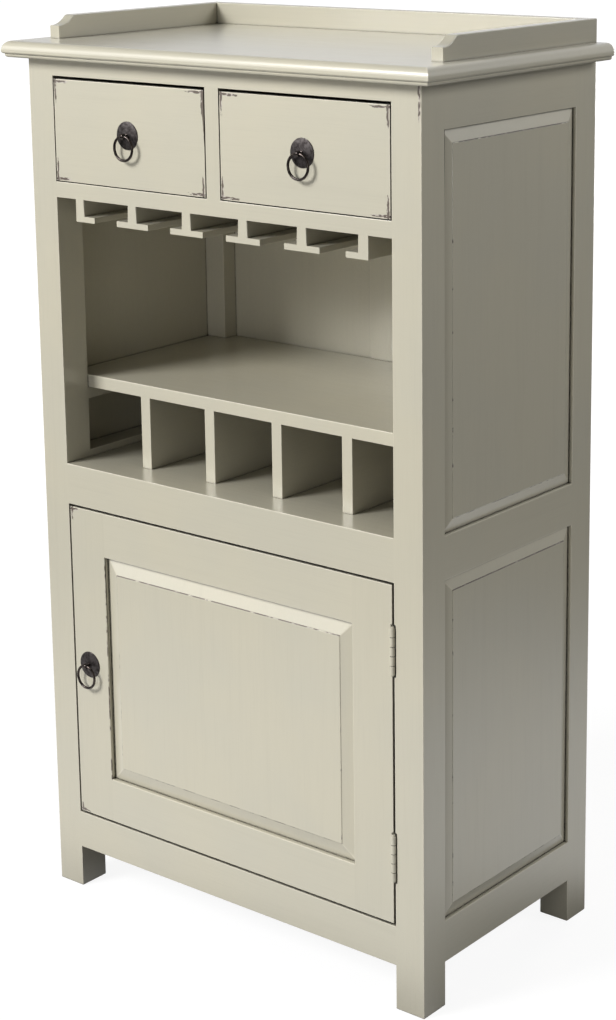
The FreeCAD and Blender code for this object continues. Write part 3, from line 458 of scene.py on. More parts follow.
def axes(tree, vector):
    """The three parts of a vector."""
    return add_node(tree, "ShaderNodeSeparateXYZ", {0: vector}).outputs


def either(tree, factor, one, other):
    """One value where the factor is 0, the other where it is 1."""
    return add_node(tree, "ShaderNodeMix", {0: factor, 2: one, 3: other}).outputs[0]


def mix(tree, factor, one, other):
    """Two colours mixed."""
    made = add_node(tree, "ShaderNodeMix", data_type="RGBA")
    # The sockets for colours come after those for values and vectors
    for socket, value in ((made.inputs[0], factor), (made.inputs[6], one), (made.inputs[7], other)):
        if isinstance(value, bpy.types.NodeSocket):
            tree.links.new(value, socket)
        elif isinstance(value, float):
            socket.default_value = value
        else:
            socket.default_value = (*value, 1)
    return made.outputs[2]


def add_relief(tree, shader, height, strength, depth):
    """Fine marks that light catches."""
    bump = add_node(tree, "ShaderNodeBump", {"Height": height, "Strength": strength, "Distance": depth})
    tree.links.new(bump.outputs["Normal"], shader.inputs["Normal"])


def along_grain(grain, across, along):
    """Marks for each metre along the three axes, fewer along the grain."""
    return tuple(along if axis == grain else across for axis in "xyz")


def attribute(tree, name):
    """A number kept on each face of a piece."""
    return add_node(tree, "ShaderNodeAttribute", attribute_name=name).outputs["Fac"]


def stroke_group():
    """A node group for strokes of wear along both edges near the corners of a box."""
    name = "worn_strokes"
    if name in bpy.data.node_groups:
        return bpy.data.node_groups[name]
    paint = bpy.context.scene.cabinet_paint
    tree = bpy.data.node_groups.new(name, "ShaderNodeTree")
    for socket in ("Place", "Centre", "Half", "Reach"):
        tree.interface.new_socket(socket, in_out="INPUT", socket_type="NodeSocketVector")
    for socket in ("Near", "Strokes"):
        tree.interface.new_socket(socket, in_out="OUTPUT", socket_type="NodeSocketFloat")
    given = tree.nodes.new("NodeGroupInput").outputs
    offset = vectors(tree, "ABSOLUTE", vectors(tree, "SUBTRACT", given["Place"], given["Centre"]))
    inward = vectors(tree, "SUBTRACT", given["Half"], offset)
    past = axes(tree, vectors(tree, "SUBTRACT", inward, given["Reach"]))
    inward = axes(tree, inward)
    lip = 0.5 * MILLIMETRE
    full = 2.2 * MILLIMETRE
    fade = 0.6 * paint.stroke_reach
    # Marks for each metre, few along a stroke and many across it
    few = 150.0
    some = 300.0
    many = 560.0
    arms = []
    for along, across, scale in (("X", "Z", (few, some, many)), ("Z", "X", (many, some, few))):
        band = maths(tree, "MULTIPLY", ramp(tree, inward[across], lip, full),
                     ramp(tree, inward[across], 0.5 * paint.stroke_band, paint.stroke_band, 1.0, 0.0))
        near = maths(tree, "MULTIPLY", band, ramp(tree, past[along], -fade, 0.0, 1.0, 0.0))
        marks = noise(tree, given["Place"], scale, 3.0, 0.6)
        marks = ramp(tree, maths(tree, "ADD", marks, maths(tree, "MULTIPLY", near, 0.3)), 0.66, 0.73)
        arms.append((near, maths(tree, "MULTIPLY", marks, ramp(tree, near, 0.1, 0.35))))
    result = tree.nodes.new("NodeGroupOutput").inputs
    for number, socket in enumerate(("Near", "Strokes")):
        tree.links.new(maths(tree, "MAXIMUM", arms[0][number], arms[1][number]), result[socket])
    return tree


def worn_strokes(tree, place, wear):
    """How near a place is to a worn corner, and the strokes of bare wood there."""
    group = tree.nodes.new("ShaderNodeGroup")
    group.node_tree = stroke_group()
    tree.links.new(place, group.inputs["Place"])
    group.inputs["Centre"].default_value = (wear["low"] + wear["high"]) / 2
    group.inputs["Half"].default_value = (wear["high"] - wear["low"]) / 2
    group.inputs["Reach"].default_value = wear["reach"]
    return group.outputs["Near"], group.outputs["Strokes"]


def bare_wedge(tree, place, wear):
    """A wedge of bare wood along a board's right edge, widest at the top."""
    width = bpy.context.scene.cabinet_paint.wedge_width
    at = axes(tree, place)
    tall = 0.65 * (wear["high"].z - wear["low"].z)
    wide = ramp(tree, at["Z"], wear["high"].z - tall, wear["high"].z, 0.0, width)
    ragged = ramp(tree, noise(tree, place, (200.0, 200.0, 90.0), 4.0, 0.6), 0.3, 0.7, 0.55, 1.25)
    reach = maths(tree, "MULTIPLY", wide, ragged)
    inward = maths(tree, "SUBTRACT", wear["high"].x, at["X"])
    past = maths(tree, "SUBTRACT", inward, reach)
    return ramp(tree, past, -0.3 * MILLIMETRE, 0.2 * MILLIMETRE, 1.0, 0.0)


def rub_masks(tree, place, wear):
    """Where the paint is thin, where it is rubbed through, where an arris is, and where an arris gets a
    painted highlight.
    """
    at_most = 0.88
    level = attribute(tree, "rub")
    arris = ramp(tree, level, 0.0, 0.01)
    broken = noise(tree, place, 60.0, 6.0, 0.68)
    bare = maths(tree, "MULTIPLY", ramp(tree, maths(tree, "ADD", broken, level), 0.80, 0.90), arris)
    thin = maths(tree, "MULTIPLY", bare, 0.6)
    if wear:
        near, strokes = worn_strokes(tree, place, wear)
        cloud = noise(tree, place, 90.0, 3.0, 0.6)
        smear = ramp(tree, maths(tree, "MULTIPLY", near, cloud), 0.16, 0.5, 0.0, 0.6)
        thin = maths(tree, "MAXIMUM", thin, smear)
        bare = maths(tree, "MAXIMUM", bare, strokes)
        if wear["wedge"]:
            bare = maths(tree, "MAXIMUM", bare, bare_wedge(tree, place, wear))
    # Painted highlight on arrises that are little rubbed
    smooth = maths(tree, "MULTIPLY", arris, ramp(tree, level, 0.1, 0.3, 0.5, 0.0))
    return thin, maths(tree, "MULTIPLY", bare, at_most), arris, smooth


def openness(tree, reach):
    """How open the air round a place is: 1 on a free face, near 0 deep in a corner."""
    return add_node(tree, "ShaderNodeAmbientOcclusion", {"Distance": reach}, samples=4).outputs["AO"]


def brushed_colour(tree, place, grain, brush):
    """Cream and sage paint, with a little umber in its brush marks."""
    paint = bpy.context.scene.cabinet_paint
    band = noise(tree, place, along_grain(grain, 70.0, 3.0), 3.0, 0.5)
    cloud = noise(tree, place, 6.0, 3.0, 0.5)
    base = mix(tree, ramp(tree, cloud, 0.35, 0.65), tuple(paint.warm), tuple(paint.cool))
    streaks = maths(tree, "ADD", ramp(tree, band, 0.5, 0.8, 0.0, 0.03),
                    ramp(tree, brush, 0.45, 0.8, 0.0, 0.04))
    return mix(tree, streaks, base, tuple(paint.glaze_and_shade))


def crevice_shaded_colour(tree, place, base, arris):
    """Painted shade where flat faces meet, and the paint made darker towards the floor."""
    paint = bpy.context.scene.cabinet_paint
    flat = maths(tree, "SUBTRACT", 1.0, arris)
    # Painted shade: umber laid in where another face is near, on flat faces only
    crevice_shade = ramp(tree, openness(tree, paint.crevice_shade), 0.7, 0.35, 0.0, 0.9)
    base = mix(tree, maths(tree, "MULTIPLY", crevice_shade, flat), base, tuple(paint.glaze_and_shade))
    # The paint made darker towards the floor
    darker_low = ramp(tree, axes(tree, place)["Z"], paint.darkening_height, 0.0, 0.0, 0.12)
    return mix(tree, darker_low, base, tuple(paint.glaze_and_shade))


def painted_shade_colour(tree, place, base):
    """Painted shade that dulls the paint inside the niche and cubbies, where boards close round a space,
    weaker above the top and a little on the rim.
    """
    paint = bpy.context.scene.cabinet_paint
    height = axes(tree, place)["Z"]
    # Painted shade where boards close round a space, weaker above the top, and a little on the rim
    dull = ramp(tree, openness(tree, paint.shade_reach), 0.7, 0.2, 0.0, 0.34)
    under_top = ramp(tree, height, TOP_FACE - 20 * MILLIMETRE, TOP_FACE - 10 * MILLIMETRE, 1.0, 0.15)
    on_rim = ramp(tree, height, TOP_FACE - MILLIMETRE, TOP_FACE + MILLIMETRE, 0.0, 0.12)
    painted_shade = maths(tree, "MULTIPLY_ADD", dull, under_top, on_rim)
    return mix(tree, painted_shade, base, tuple(paint.shade))


def paint_material(grain, wear=None):
    """Brushed semi-gloss paint along one axis, worn at the corners of a box if one is given."""
    name = f"paint_along_{grain}"
    if wear:
        name += "_worn_{:.0f}_{:.0f}".format(*(wear["high"].xz / MILLIMETRE))
    if name in bpy.data.materials:
        return bpy.data.materials[name]
    paint = bpy.context.scene.cabinet_paint
    material, tree, shader = new_material(name)
    place = object_place(tree)
    brush = noise(tree, place, along_grain(grain, 700.0, 14.0), 4.0, 0.55)
    thin, bare, arris, smooth = rub_masks(tree, place, wear)
    base = brushed_colour(tree, place, grain, brush)
    # Painted highlight along the arrises
    base = mix(tree, smooth, base, tuple(paint.painted_arris_highlight))
    base = crevice_shaded_colour(tree, place, base, arris)
    base = mix(tree, thin, base, tuple(paint.smear))
    base = mix(tree, bare, base, tuple(paint.wood))
    base = painted_shade_colour(tree, place, base)
    # Painted shade: near black deep in narrow gaps, where little air is open round a place
    deep = ramp(tree, openness(tree, paint.gap_shade_reach), 0.58, 0.3)
    base = mix(tree, deep, base, tuple(paint.gap))
    tone = ramp(tree, attribute(tree, "tone"), -1.0, 1.0, 0.99, 1.01)
    base = add_node(tree, "ShaderNodeHueSaturation", {"Value": tone, "Color": base}).outputs["Color"]
    tree.links.new(base, shader.inputs["Base Color"])
    rough = maths(tree, "ADD", ramp(tree, brush, 0.3, 0.7, paint.gloss - 0.04, paint.gloss + 0.05),
                  maths(tree, "MULTIPLY", bare, 0.25))
    tree.links.new(rough, shader.inputs["Roughness"])
    open_air = maths(tree, "SUBTRACT", 1.0, deep)
    tree.links.new(open_air, shader.inputs["Coat Weight"])
    tree.links.new(maths(tree, "MULTIPLY", open_air, 0.5), shader.inputs["Specular IOR Level"])
    shader.inputs["Coat Roughness"].default_value = 0.2
    relief = maths(tree, "SUBTRACT", maths(tree, "MULTIPLY", brush, 0.5), bare)
    add_relief(tree, shader, relief, strength=0.25, depth=0.12 * MILLIMETRE)
    return material


def drawer_wood(grain):
    """Bare, lightly sealed wood with its rings drawn out along the grain."""
    name = f"drawer_wood_along_{grain}"
    if name in bpy.data.materials:
        return bpy.data.materials[name]
    wood = bpy.context.scene.cabinet_drawer_wood
    material, tree, shader = new_material(name)
    place = object_place(tree)
    rings = noise(tree, place, along_grain(grain, 110.0, 3.0), 4.0, 0.6)
    pores = noise(tree, place, along_grain(grain, 1500.0, 30.0), 2.0, 0.5)
    base = mix(tree, ramp(tree, rings, 0.35, 0.65), tuple(wood.light), tuple(wood.dark))
    base = mix(tree, ramp(tree, pores, 0.58, 0.75, 0.0, 0.5), base, tuple(wood.dark))
    tree.links.new(base, shader.inputs["Base Color"])
    tree.links.new(ramp(tree, pores, 0.3, 0.7, 0.5, 0.62), shader.inputs["Roughness"])
    add_relief(tree, shader, pores, strength=0.3, depth=0.1 * MILLIMETRE)
    return material


def pull_iron(name, smooth):
    """Dark pewter with patina in its hollows and fine hammer marks."""
    if name in bpy.data.materials:
        return bpy.data.materials[name]
    hardware = bpy.context.scene.cabinet_hardware
    material, tree, shader = new_material(name)
    place = object_place(tree)
    patina = noise(tree, place, 260.0, 5.0, 0.65)
    hammer = noise(tree, place, 420.0, 2.0, 0.4)
    light = hardware.iron_worn if smooth else hardware.iron
    base = mix(tree, ramp(tree, patina, 0.35, 0.62), tuple(hardware.iron_dark), tuple(light))
    tree.links.new(base, shader.inputs["Base Color"])
    shader.inputs["Metallic"].default_value = 0.85
    rough = (0.26, 0.18) if smooth else (0.46, 0.34)
    tree.links.new(ramp(tree, patina, 0.3, 0.7, *rough), shader.inputs["Roughness"])
    add_relief(tree, shader, hammer, strength=0.35, depth=0.25 * MILLIMETRE)
    return material


def bright_steel():
    """Brushed steel of screws and the catch plate."""
    name = "bright_steel"
    if name in bpy.data.materials:
        return bpy.data.materials[name]
    hardware = bpy.context.scene.cabinet_hardware
    material, tree, shader = new_material(name)
    place = object_place(tree)
    brushed = noise(tree, place, along_grain("x", 2500.0, 60.0), 3.0, 0.5)
    dull = tuple(0.7 * part for part in hardware.steel)
    base = mix(tree, ramp(tree, brushed, 0.3, 0.7), dull, tuple(hardware.steel))
    tree.links.new(base, shader.inputs["Base Color"])
    shader.inputs["Metallic"].default_value = 1.0
    tree.links.new(ramp(tree, brushed, 0.3, 0.7, 0.28, 0.42), shader.inputs["Roughness"])
    return material


def moulded_housing():
    """Moulded plastic of the catch."""
    name = "moulded_housing"
    if name in bpy.data.materials:
        return bpy.data.materials[name]
    hardware = bpy.context.scene.cabinet_hardware
    material, tree, shader = new_material(name)
    place = object_place(tree)
    texture = noise(tree, place, 1400.0, 2.0, 0.5)
    dull = tuple(0.9 * part for part in hardware.housing)
    base = mix(tree, ramp(tree, noise(tree, place, 60.0), 0.35, 0.65), tuple(hardware.housing), dull)
    tree.links.new(base, shader.inputs["Base Color"])
    tree.links.new(ramp(tree, texture, 0.3, 0.7, 0.42, 0.55), shader.inputs["Roughness"])
    add_relief(tree, shader, texture, strength=0.2, depth=0.05 * MILLIMETRE)
    return material


class CABINET_OT_posts(bpy.types.Operator):
    """Paint the four posts"""
    bl_idname = "cabinet.posts"
    bl_label = "Posts"

    def execute(self, context):
        """Dress every post."""
        paint_boards(("front_left_post", "back_left_post", "back_right_post"), "z")
        low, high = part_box("front_right_post")
        below_top = Vector((0, 0, 14 * MILLIMETRE))
        wear = worn_box(low - high, high - below_top, along="z")
        paint_boards(("front_right_post",), "z", wear=wear)
        return {"FINISHED"}


class CABINET_OT_front_frame(bpy.types.Operator):
    """Paint the rails of the front and the upright between the drawers"""
    bl_idname = "cabinet.front_frame"
    bl_label = "Front frame"

    def execute(self, context):
        """Dress the front rails and the upright."""
        paint_boards(("front_top_rail", "drawer_rail", "front_middle_rail", "front_bottom_rail"), "x")
        paint_boards(("drawer_divider",), "z")
        return {"FINISHED"}


class CABINET_OT_sides(bpy.types.Operator):
    """Paint the rails and raised panels of both sides"""
    bl_idname = "cabinet.sides"
    bl_label = "Sides"

    def execute(self, context):
        """Dress rails and panels."""
        for side in ("left", "right"):
            paint_boards([f"{side}_{level}_rail" for level in ("top", "middle", "bottom")], "y")
            for level in ("upper", "lower"):
                paint_panel(f"{side}_{level}_panel")
        return {"FINISHED"}


class CABINET_OT_back(bpy.types.Operator):
    """Paint the framed back"""
    bl_idname = "cabinet.back"
    bl_label = "Back"

    def execute(self, context):
        """Dress rails, muntins and panels."""
        paint_boards(("back_rails",), "x")
        paint_boards(("back_muntins", "back_panels"), "z")
        return {"FINISHED"}


class CABINET_OT_top(bpy.types.Operator):
    """Paint the top board and its rim"""
    bl_idname = "cabinet.top"
    bl_label = "Top"

    def execute(self, context):
        """Dress the top and the gallery."""
        paint = context.scene.cabinet_paint
        paint_boards(("top_board",), "x")
        paint_boards(("gallery_left", "gallery_right"), "y", paint.rim_rub, paint.rim_arris)
        paint_boards(("gallery_back",), "x", paint.rim_rub, paint.rim_arris)
        return {"FINISHED"}


class CABINET_OT_inside(bpy.types.Operator):
    """Paint the boards inside: shelf, floors, bottle dividers, strips and stemware rack"""
    bl_idname = "cabinet.inside"
    bl_label = "Inside"

    def execute(self, context):
        """Dress everything between the frames."""
        paint_boards(("drawer_deck", "bottle_shelf", "bottle_floor", "cupboard_floor"), "x")
        paint_boards(("shelf_cleats", "floor_strips", "bottle_dividers"), "y")
        paint_boards(("stemware_rails", "stemware_end_rails"), "y")
        return {"FINISHED"}


class CABINET_OT_drawers(bpy.types.Operator):
    """Paint the drawer fronts and finish the drawer boxes in bare wood"""
    bl_idname = "cabinet.drawers"
    bl_label = "Drawers"

    def execute(self, context):
        """Dress both drawers."""
        width = context.scene.cabinet_drawer_wood.arris
        dress_board("drawer_guides", "bare_drawer_guides", width, 0.0, drawer_wood("y"))
        for side in ("left", "right"):
            wear = worn_box(*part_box(f"{side}_drawer_front"), wedge=side == "left")
            paint_boards((f"{side}_drawer_front",), "x", wear=wear)
            for board, grain in (("sides", "y"), ("back", "x"), ("bottom", "x")):
                node = f"{side}_drawer_{board}"
                dress_board(node, f"bare_{node}", width, 0.0, drawer_wood(grain))
        return {"FINISHED"}


class CABINET_OT_door(bpy.types.Operator):
    """Paint the panelled door"""
    bl_idname = "cabinet.door"
    bl_label = "Door"

    def execute(self, context):
        """Dress stiles, rails and panel."""
        paint = context.scene.cabinet_paint
        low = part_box("door_latch_stile")[0]
        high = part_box("door_hinge_stile")[1]
        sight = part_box("door_latch_stile")[1].x - 2 * MILLIMETRE

        def rub(at):
            """Rub at a place on the latch stile, heavy beside the panel."""
            return paint.heavy_rub if at.x > sight else paint.rub

        paint_boards(("door_latch_stile",), "z", rub, wear=worn_box(low, high, extent=0.7))
        paint_boards(("door_hinge_stile",), "z")
        paint_boards(("door_top_rail", "door_bottom_rail"), "x")
        paint_panel("door_panel")
        return {"FINISHED"}


class CABINET_OT_hinges(bpy.types.Operator):
    """Paint the two butt hinges and drive their screws"""
    bl_idname = "cabinet.hinges"
    bl_label = "Hinges"

    def execute(self, context):
        """Dress leaves and pins, then set three screws in each leaf."""
        edge = 0.25 * MILLIMETRE
        rub = 0.05
        for node in ("hinge_frame_leaves", "hinge_door_leaves", "hinge_pins"):
            dress_board(node, f"painted_{node}", edge, rub, paint_material("z"))
        screw = slotted_screw(context.scene.cabinet_hardware)
        low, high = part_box("hinge_pins")
        axis = (low + high) / 2
        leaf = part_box("hinge_door_leaves")
        depth = leaf[1].y - axis.y
        span = context.scene.cabinet_hardware.hinge_length
        gap = 0.6 * MILLIMETRE
        spread = 0.33
        inner = 0.62
        outer = 0.74
        for foot, hinge in ((leaf[0].z, "lower"), (leaf[1].z - span, "upper")):
            for body, facing in (("carcass", -1), ("door", 1)):
                for number, (up, into) in enumerate(((-spread, outer), (0, inner), (spread, outer))):
                    at = Vector((axis.x - facing * gap, axis.y + depth * into, foot + span * (0.5 + up)))
                    drive(screw, f"{hinge}_hinge_screw_{body}_{number}", at, Vector((facing, 0, 0)), body)
        bpy.data.objects.remove(screw)
        return {"FINISHED"}


class CABINET_OT_catch(bpy.types.Operator):
    """Finish the magnetic catch and its plate"""
    bl_idname = "cabinet.catch"
    bl_label = "Catch"

    def execute(self, context):
        """Dress housing and plate, and drive their screws."""
        moulded_edge = 1.0 * MILLIMETRE
        steel_edge = 0.4 * MILLIMETRE
        dress_board("door_catch", "moulded_door_catch", moulded_edge, 0.0, moulded_housing())
        dress_board("catch_plate", "steel_catch_plate", steel_edge, 0.0, bright_steel())
        screw = slotted_screw(context.scene.cabinet_hardware)
        below_top = 9 * MILLIMETRE
        sunk = 0.2 * MILLIMETRE
        low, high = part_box("door_catch")
        for number, step in enumerate((0.22, 0.78)):
            at = Vector((low.x + step * (high.x - low.x), high.y, high.z - below_top))
            drive(screw, f"catch_screw_{number}", at, REAR, "carcass")
        low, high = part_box("catch_plate")
        at = Vector(((low.x + high.x) / 2, high.y - sunk, (low.z + high.z) / 2))
        drive(screw, "catch_plate_screw", at, REAR, "door")
        bpy.data.objects.remove(screw)
        return {"FINISHED"}


def slotted_screw(hardware):
    """One countersunk screw head with a slot, facing up at the origin, to be copied."""
    bpy.ops.object.select_all(action="DESELECT")
    depth = 0.8 * MILLIMETRE
    proud = 0.25 * MILLIMETRE
    edge = 0.15 * MILLIMETRE
    slot_depth = 0.45 * MILLIMETRE
    bpy.ops.mesh.primitive_cylinder_add(vertices=32, radius=hardware.screw_head, depth=depth,
                                        location=(0, 0, proud - depth / 2))
    screw = settled()
    half = hardware.screw_slot / 2
    with editing(screw):
        pick(screw, "faces", lambda face: face.normal.z > 0.9)
        bpy.ops.mesh.bevel(offset=edge, segments=2, affect="EDGES")
        for side in (-half, half):
            bpy.ops.mesh.select_all(action="SELECT")
            bpy.ops.mesh.bisect(plane_co=(side, 0, 0), plane_no=(1, 0, 0))
        pick(screw, "faces", lambda face: face.normal.z > 0.5 and abs(face.calc_center_median().x) < half)
        bpy.ops.mesh.extrude_region_move(TRANSFORM_OT_translate={"value": (0, 0, -slot_depth)})
    finish_shading(screw)
    screw.data.materials.append(bright_steel())
    return screw


def drive(screw, name, at, facing, body):
    """A copy of a screw, set at a place and facing outwards."""
    make_active(screw)
    bpy.ops.object.duplicate()
    copy = bpy.context.object
    copy.name = name
    turn = random.Random(name).uniform(0, math.pi)
    copy.matrix_world = (Matrix.Translation(at) @ facing.to_track_quat("Z", "Y").to_matrix().to_4x4()
                         @ Matrix.Rotation(turn, 4, "Z"))
    bpy.ops.object.transform_apply(location=True, rotation=True, scale=True)
    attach(copy, body)


class CABINET_OT_pulls(bpy.types.Operator):
    """Model the three ring pulls"""
    bl_idname = "cabinet.pulls"
    bl_label = "Pulls"

    def execute(self, context):
        """Make plate, split pin and ring of each pull."""
        hardware = context.scene.cabinet_hardware
        for owner in ("left_drawer", "right_drawer", "door"):
            low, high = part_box(f"{owner}_pull")
            ring_low, ring_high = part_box(f"{owner}_ring")
            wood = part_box("door_latch_stile" if owner == "door" else f"{owner}_front")
            middle = Vector(((low.x + high.x) / 2, wood[0].y, (low.z + high.z) / 2))
            plate = turn_plate(hardware, middle, (high.x - low.x) / 2)
            plate.name = f"iron_{owner}_plate"
            place_piece(plate, f"{owner}_pull", pull_iron("pull_plate", False))
            eye = Vector((middle.x, (ring_low.y + ring_high.y) / 2, middle.z))
            pin = bend_pin(hardware, eye, eye.y - low.y, wood)
            pin.name = f"iron_{owner}_pin"
            place_piece(pin, f"{owner}_pull", pull_iron("pull_ring", True))
            ring = bend_ring((ring_low + ring_high) / 2, (ring_high.x - ring_low.x) / 2,
                             (ring_high.y - ring_low.y) / 2)
            ring.name = f"iron_{owner}_ring"
            place_piece(ring, f"{owner}_ring", pull_iron("pull_ring", True))
        return {"FINISHED"}


def turn_plate(hardware, middle, radius):
    """A round back plate with a rounded rim and a low crown, raised step by step."""
    bpy.ops.object.select_all(action="DESELECT")
    bpy.ops.mesh.primitive_circle_add(vertices=72, radius=radius, fill_type="NGON", location=middle,
                                      rotation=(math.pi / 2, 0, 0))
    plate = settled()
    rounding = 0.5 * hardware.rim
    field = radius - rounding - hardware.shank
    rise = hardware.crown - hardware.rim
    with editing(plate):
        bpy.ops.mesh.select_all(action="SELECT")
        bpy.ops.mesh.extrude_region_move(TRANSFORM_OT_translate={"value": FRONT * (hardware.rim - rounding)})
        for part in range(3):
            turn = [math.radians(30) * (part + step) for step in (0, 1)]
            bpy.ops.mesh.inset(thickness=rounding * (math.cos(turn[0]) - math.cos(turn[1])),
                               depth=rounding * (math.sin(turn[1]) - math.sin(turn[0])))
        for step in range(hardware.plate_steps):
            near, far = (part / hardware.plate_steps for part in (step, step + 1))
            up = rise * ((1 - near) ** 2 - (1 - far) ** 2)
            bpy.ops.mesh.inset(thickness=field / hardware.plate_steps, depth=up)
    finish_shading(plate)
    return plate


def bend_pin(hardware, eye, outside, wood):
    """A split pin: a flattened eye, its collared shank and two legs bent over behind the wood."""
    bpy.ops.object.select_all(action="DESELECT")
    band = 0.7 * MILLIMETRE
    width = 4.2 * MILLIMETRE
    bpy.ops.mesh.primitive_torus_add(major_radius=outside - band, minor_radius=band, major_segments=40,
                                     minor_segments=14, location=eye, rotation=(0, math.pi / 2, 0))
    pin = settled()
    with editing(pin):
        bpy.ops.mesh.select_all(action="SELECT")
        bpy.ops.transform.resize(value=(width / (2 * band), 1, 1), center_override=eye)
    crown = wood[0].y - hardware.crown
    start = eye.y + outside - band
    shank = turn_shank(hardware, Vector((eye.x, start, eye.z)), crown, wood[1].y)
    legs = [bend_leg(Vector((eye.x, wood[1].y, eye.z)), side) for side in (-1, 1)]
    make_active(pin)
    for part in (shank, *legs):
        part.select_set(True)
    bpy.ops.object.join()
    finish_shading(pin)
    return pin


def turn_shank(hardware, start, crown, rear):
    """The round shank of a split pin, with a collar where it leaves the plate."""
    bpy.ops.object.select_all(action="DESELECT")
    bpy.ops.mesh.primitive_circle_add(vertices=28, radius=hardware.shank, fill_type="NGON", location=start,
                                      rotation=(math.pi / 2, 0, 0))
    shank = settled()
    collar = 0.9 * MILLIMETRE
    with editing(shank):
        bpy.ops.mesh.select_all(action="SELECT")
        for run, spread in ((crown - collar - start.y, 1.0), (0.35 * collar, 1.45), (0.65 * collar, 1.12),
                            (0, 0.625), (rear - crown, 1.0)):
            bpy.ops.mesh.extrude_region_move(TRANSFORM_OT_translate={"value": (0, run, 0)})
            bpy.ops.transform.resize(value=(spread, 1, spread), center_override=start)
        bpy.ops.mesh.select_all(action="SELECT")
        bpy.ops.mesh.normals_make_consistent(inside=False)
    return shank


def bend_leg(root, side):
    """One flat leg of a split pin, bent up or down against the rear of the wood."""
    bpy.ops.object.select_all(action="DESELECT")
    reach = 13 * MILLIMETRE
    width = 3.2 * MILLIMETRE
    thick = 1.0 * MILLIMETRE
    middle = root + Vector((0, thick / 2, side * reach / 2))
    bpy.ops.mesh.primitive_cube_add(size=1, location=middle, scale=(width, thick, reach))
    leg = settled()
    tip = middle.z + side * 0.45 * reach
    with editing(leg):
        pick(leg, "edges", lambda edge: all((vertex.co.z - tip) * side > 0 for vertex in edge.verts)
             and abs(edge.verts[0].co.x - edge.verts[1].co.x) < 0.1 * width)
        bpy.ops.mesh.bevel(offset=0.45 * width, segments=5, affect="EDGES")
        pick(leg, "edges", lambda edge: all(vertex.co.y > middle.y for vertex in edge.verts))
        bpy.ops.mesh.bevel(offset=0.3 * thick, segments=2, affect="EDGES")
    return leg


def bend_ring(middle, outside, wire):
    """A ring of round wire, butted at the top inside its eye."""
    bpy.ops.object.select_all(action="DESELECT")
    bpy.ops.mesh.primitive_torus_add(major_radius=outside - wire, minor_radius=wire, major_segments=120,
                                     minor_segments=20, location=middle, rotation=(math.pi / 2, 0, 0))
    ring = settled()
    with editing(ring):
        pick(ring, "faces", lambda face: face.calc_center_median().z > middle.z
             and 0 < face.calc_center_median().x - middle.x < 0.5 * MILLIMETRE)
        bpy.ops.mesh.delete(type="FACE")
        pick(ring, "edges", lambda edge: edge.is_boundary)
        bpy.ops.mesh.fill_holes(sides=0)
    finish_shading(ring, math.radians(60))
    return ring


class CABINET_OT_stage(bpy.types.Operator):
    """Set up floor, lamps, background and camera"""
    bl_idname = "cabinet.stage"
    bl_label = "Stage"

    def execute(self, context):
        """Make everything round the cabinet."""
        context.scene.view_settings.view_transform = "Standard"
        lay_floor(context.scene.cabinet_stage)
        light_world(context)
        hang_lamps(context.scene.cabinet_stage)
        aim_camera(context)
        return {"FINISHED"}


def lay_floor(stage):
    """A pale floor that stays near white to the camera and keeps a soft shadow."""
    bpy.ops.object.select_all(action="DESELECT")
    bpy.ops.mesh.primitive_plane_add(size=stage.floor_width)
    floor = bpy.context.object
    floor.name = "floor"
    material, tree, shader = new_material("floor")
    shader.inputs["Roughness"].default_value = 0.9
    shader.inputs["Specular IOR Level"].default_value = 0.0
    path = add_node(tree, "ShaderNodeLightPath").outputs
    bounce = tuple(stage.floor_bounce * part for part in stage.floor)
    tree.links.new(mix(tree, path["Is Diffuse Ray"], tuple(stage.floor), bounce), shader.inputs["Base Color"])
    place = object_place(tree)
    away = vectors(tree, "LENGTH", place)
    # In gloss the floor is a glow rather than lit: a painted shadow in an oval round the cabinet, fading with
    # distance
    oval = add_node(tree, "ShaderNodeMapping", {
        "Vector": place, "Location": (-0.14, -0.2, 0), "Scale": (2.9, 4, 1)}).outputs["Vector"]
    beyond_shadow = ramp(tree, vectors(tree, "LENGTH", oval), 0.8, 1.4, 0.1, 0.9)
    mirrored = maths(tree, "MULTIPLY", beyond_shadow, ramp(tree, away, 0.7, 1.8, 1.0, 0.08))
    open_floor = ramp(tree, away, 1.0, 2.2, 1.5, 1.72)
    strength = either(tree, path["Is Glossy Ray"], open_floor, mirrored)
    glow = add_node(tree, "ShaderNodeEmission", {"Color": (1, 1, 1, 1), "Strength": strength})
    seen = maths(tree, "MAXIMUM", path["Is Camera Ray"], path["Is Transmission Ray"])
    lift = maths(tree, "MAXIMUM", maths(tree, "MULTIPLY", seen, stage.floor_white), path["Is Glossy Ray"])
    blend = add_node(tree, "ShaderNodeMixShader", {0: lift, 1: shader.outputs[0], 2: glow.outputs[0]})
    tree.links.new(blend.outputs[0], tree.nodes["Material Output"].inputs["Surface"])
    floor.data.materials.append(material)


WINDOW = Vector((-0.7, -0.2, 0.6)).normalized()
BOX = Vector((-0.62, -0.76, 0.22)).normalized()


def lobe(tree, way, target, strength):
    """Soft light that is strongest from one direction and fades to nothing from the other."""
    facing = maths(tree, "MULTIPLY_ADD", vectors(tree, "DOT_PRODUCT", way, target), 0.5, 0.5)
    return maths(tree, "MULTIPLY", maths(tree, "POWER", facing, 2.0), strength)


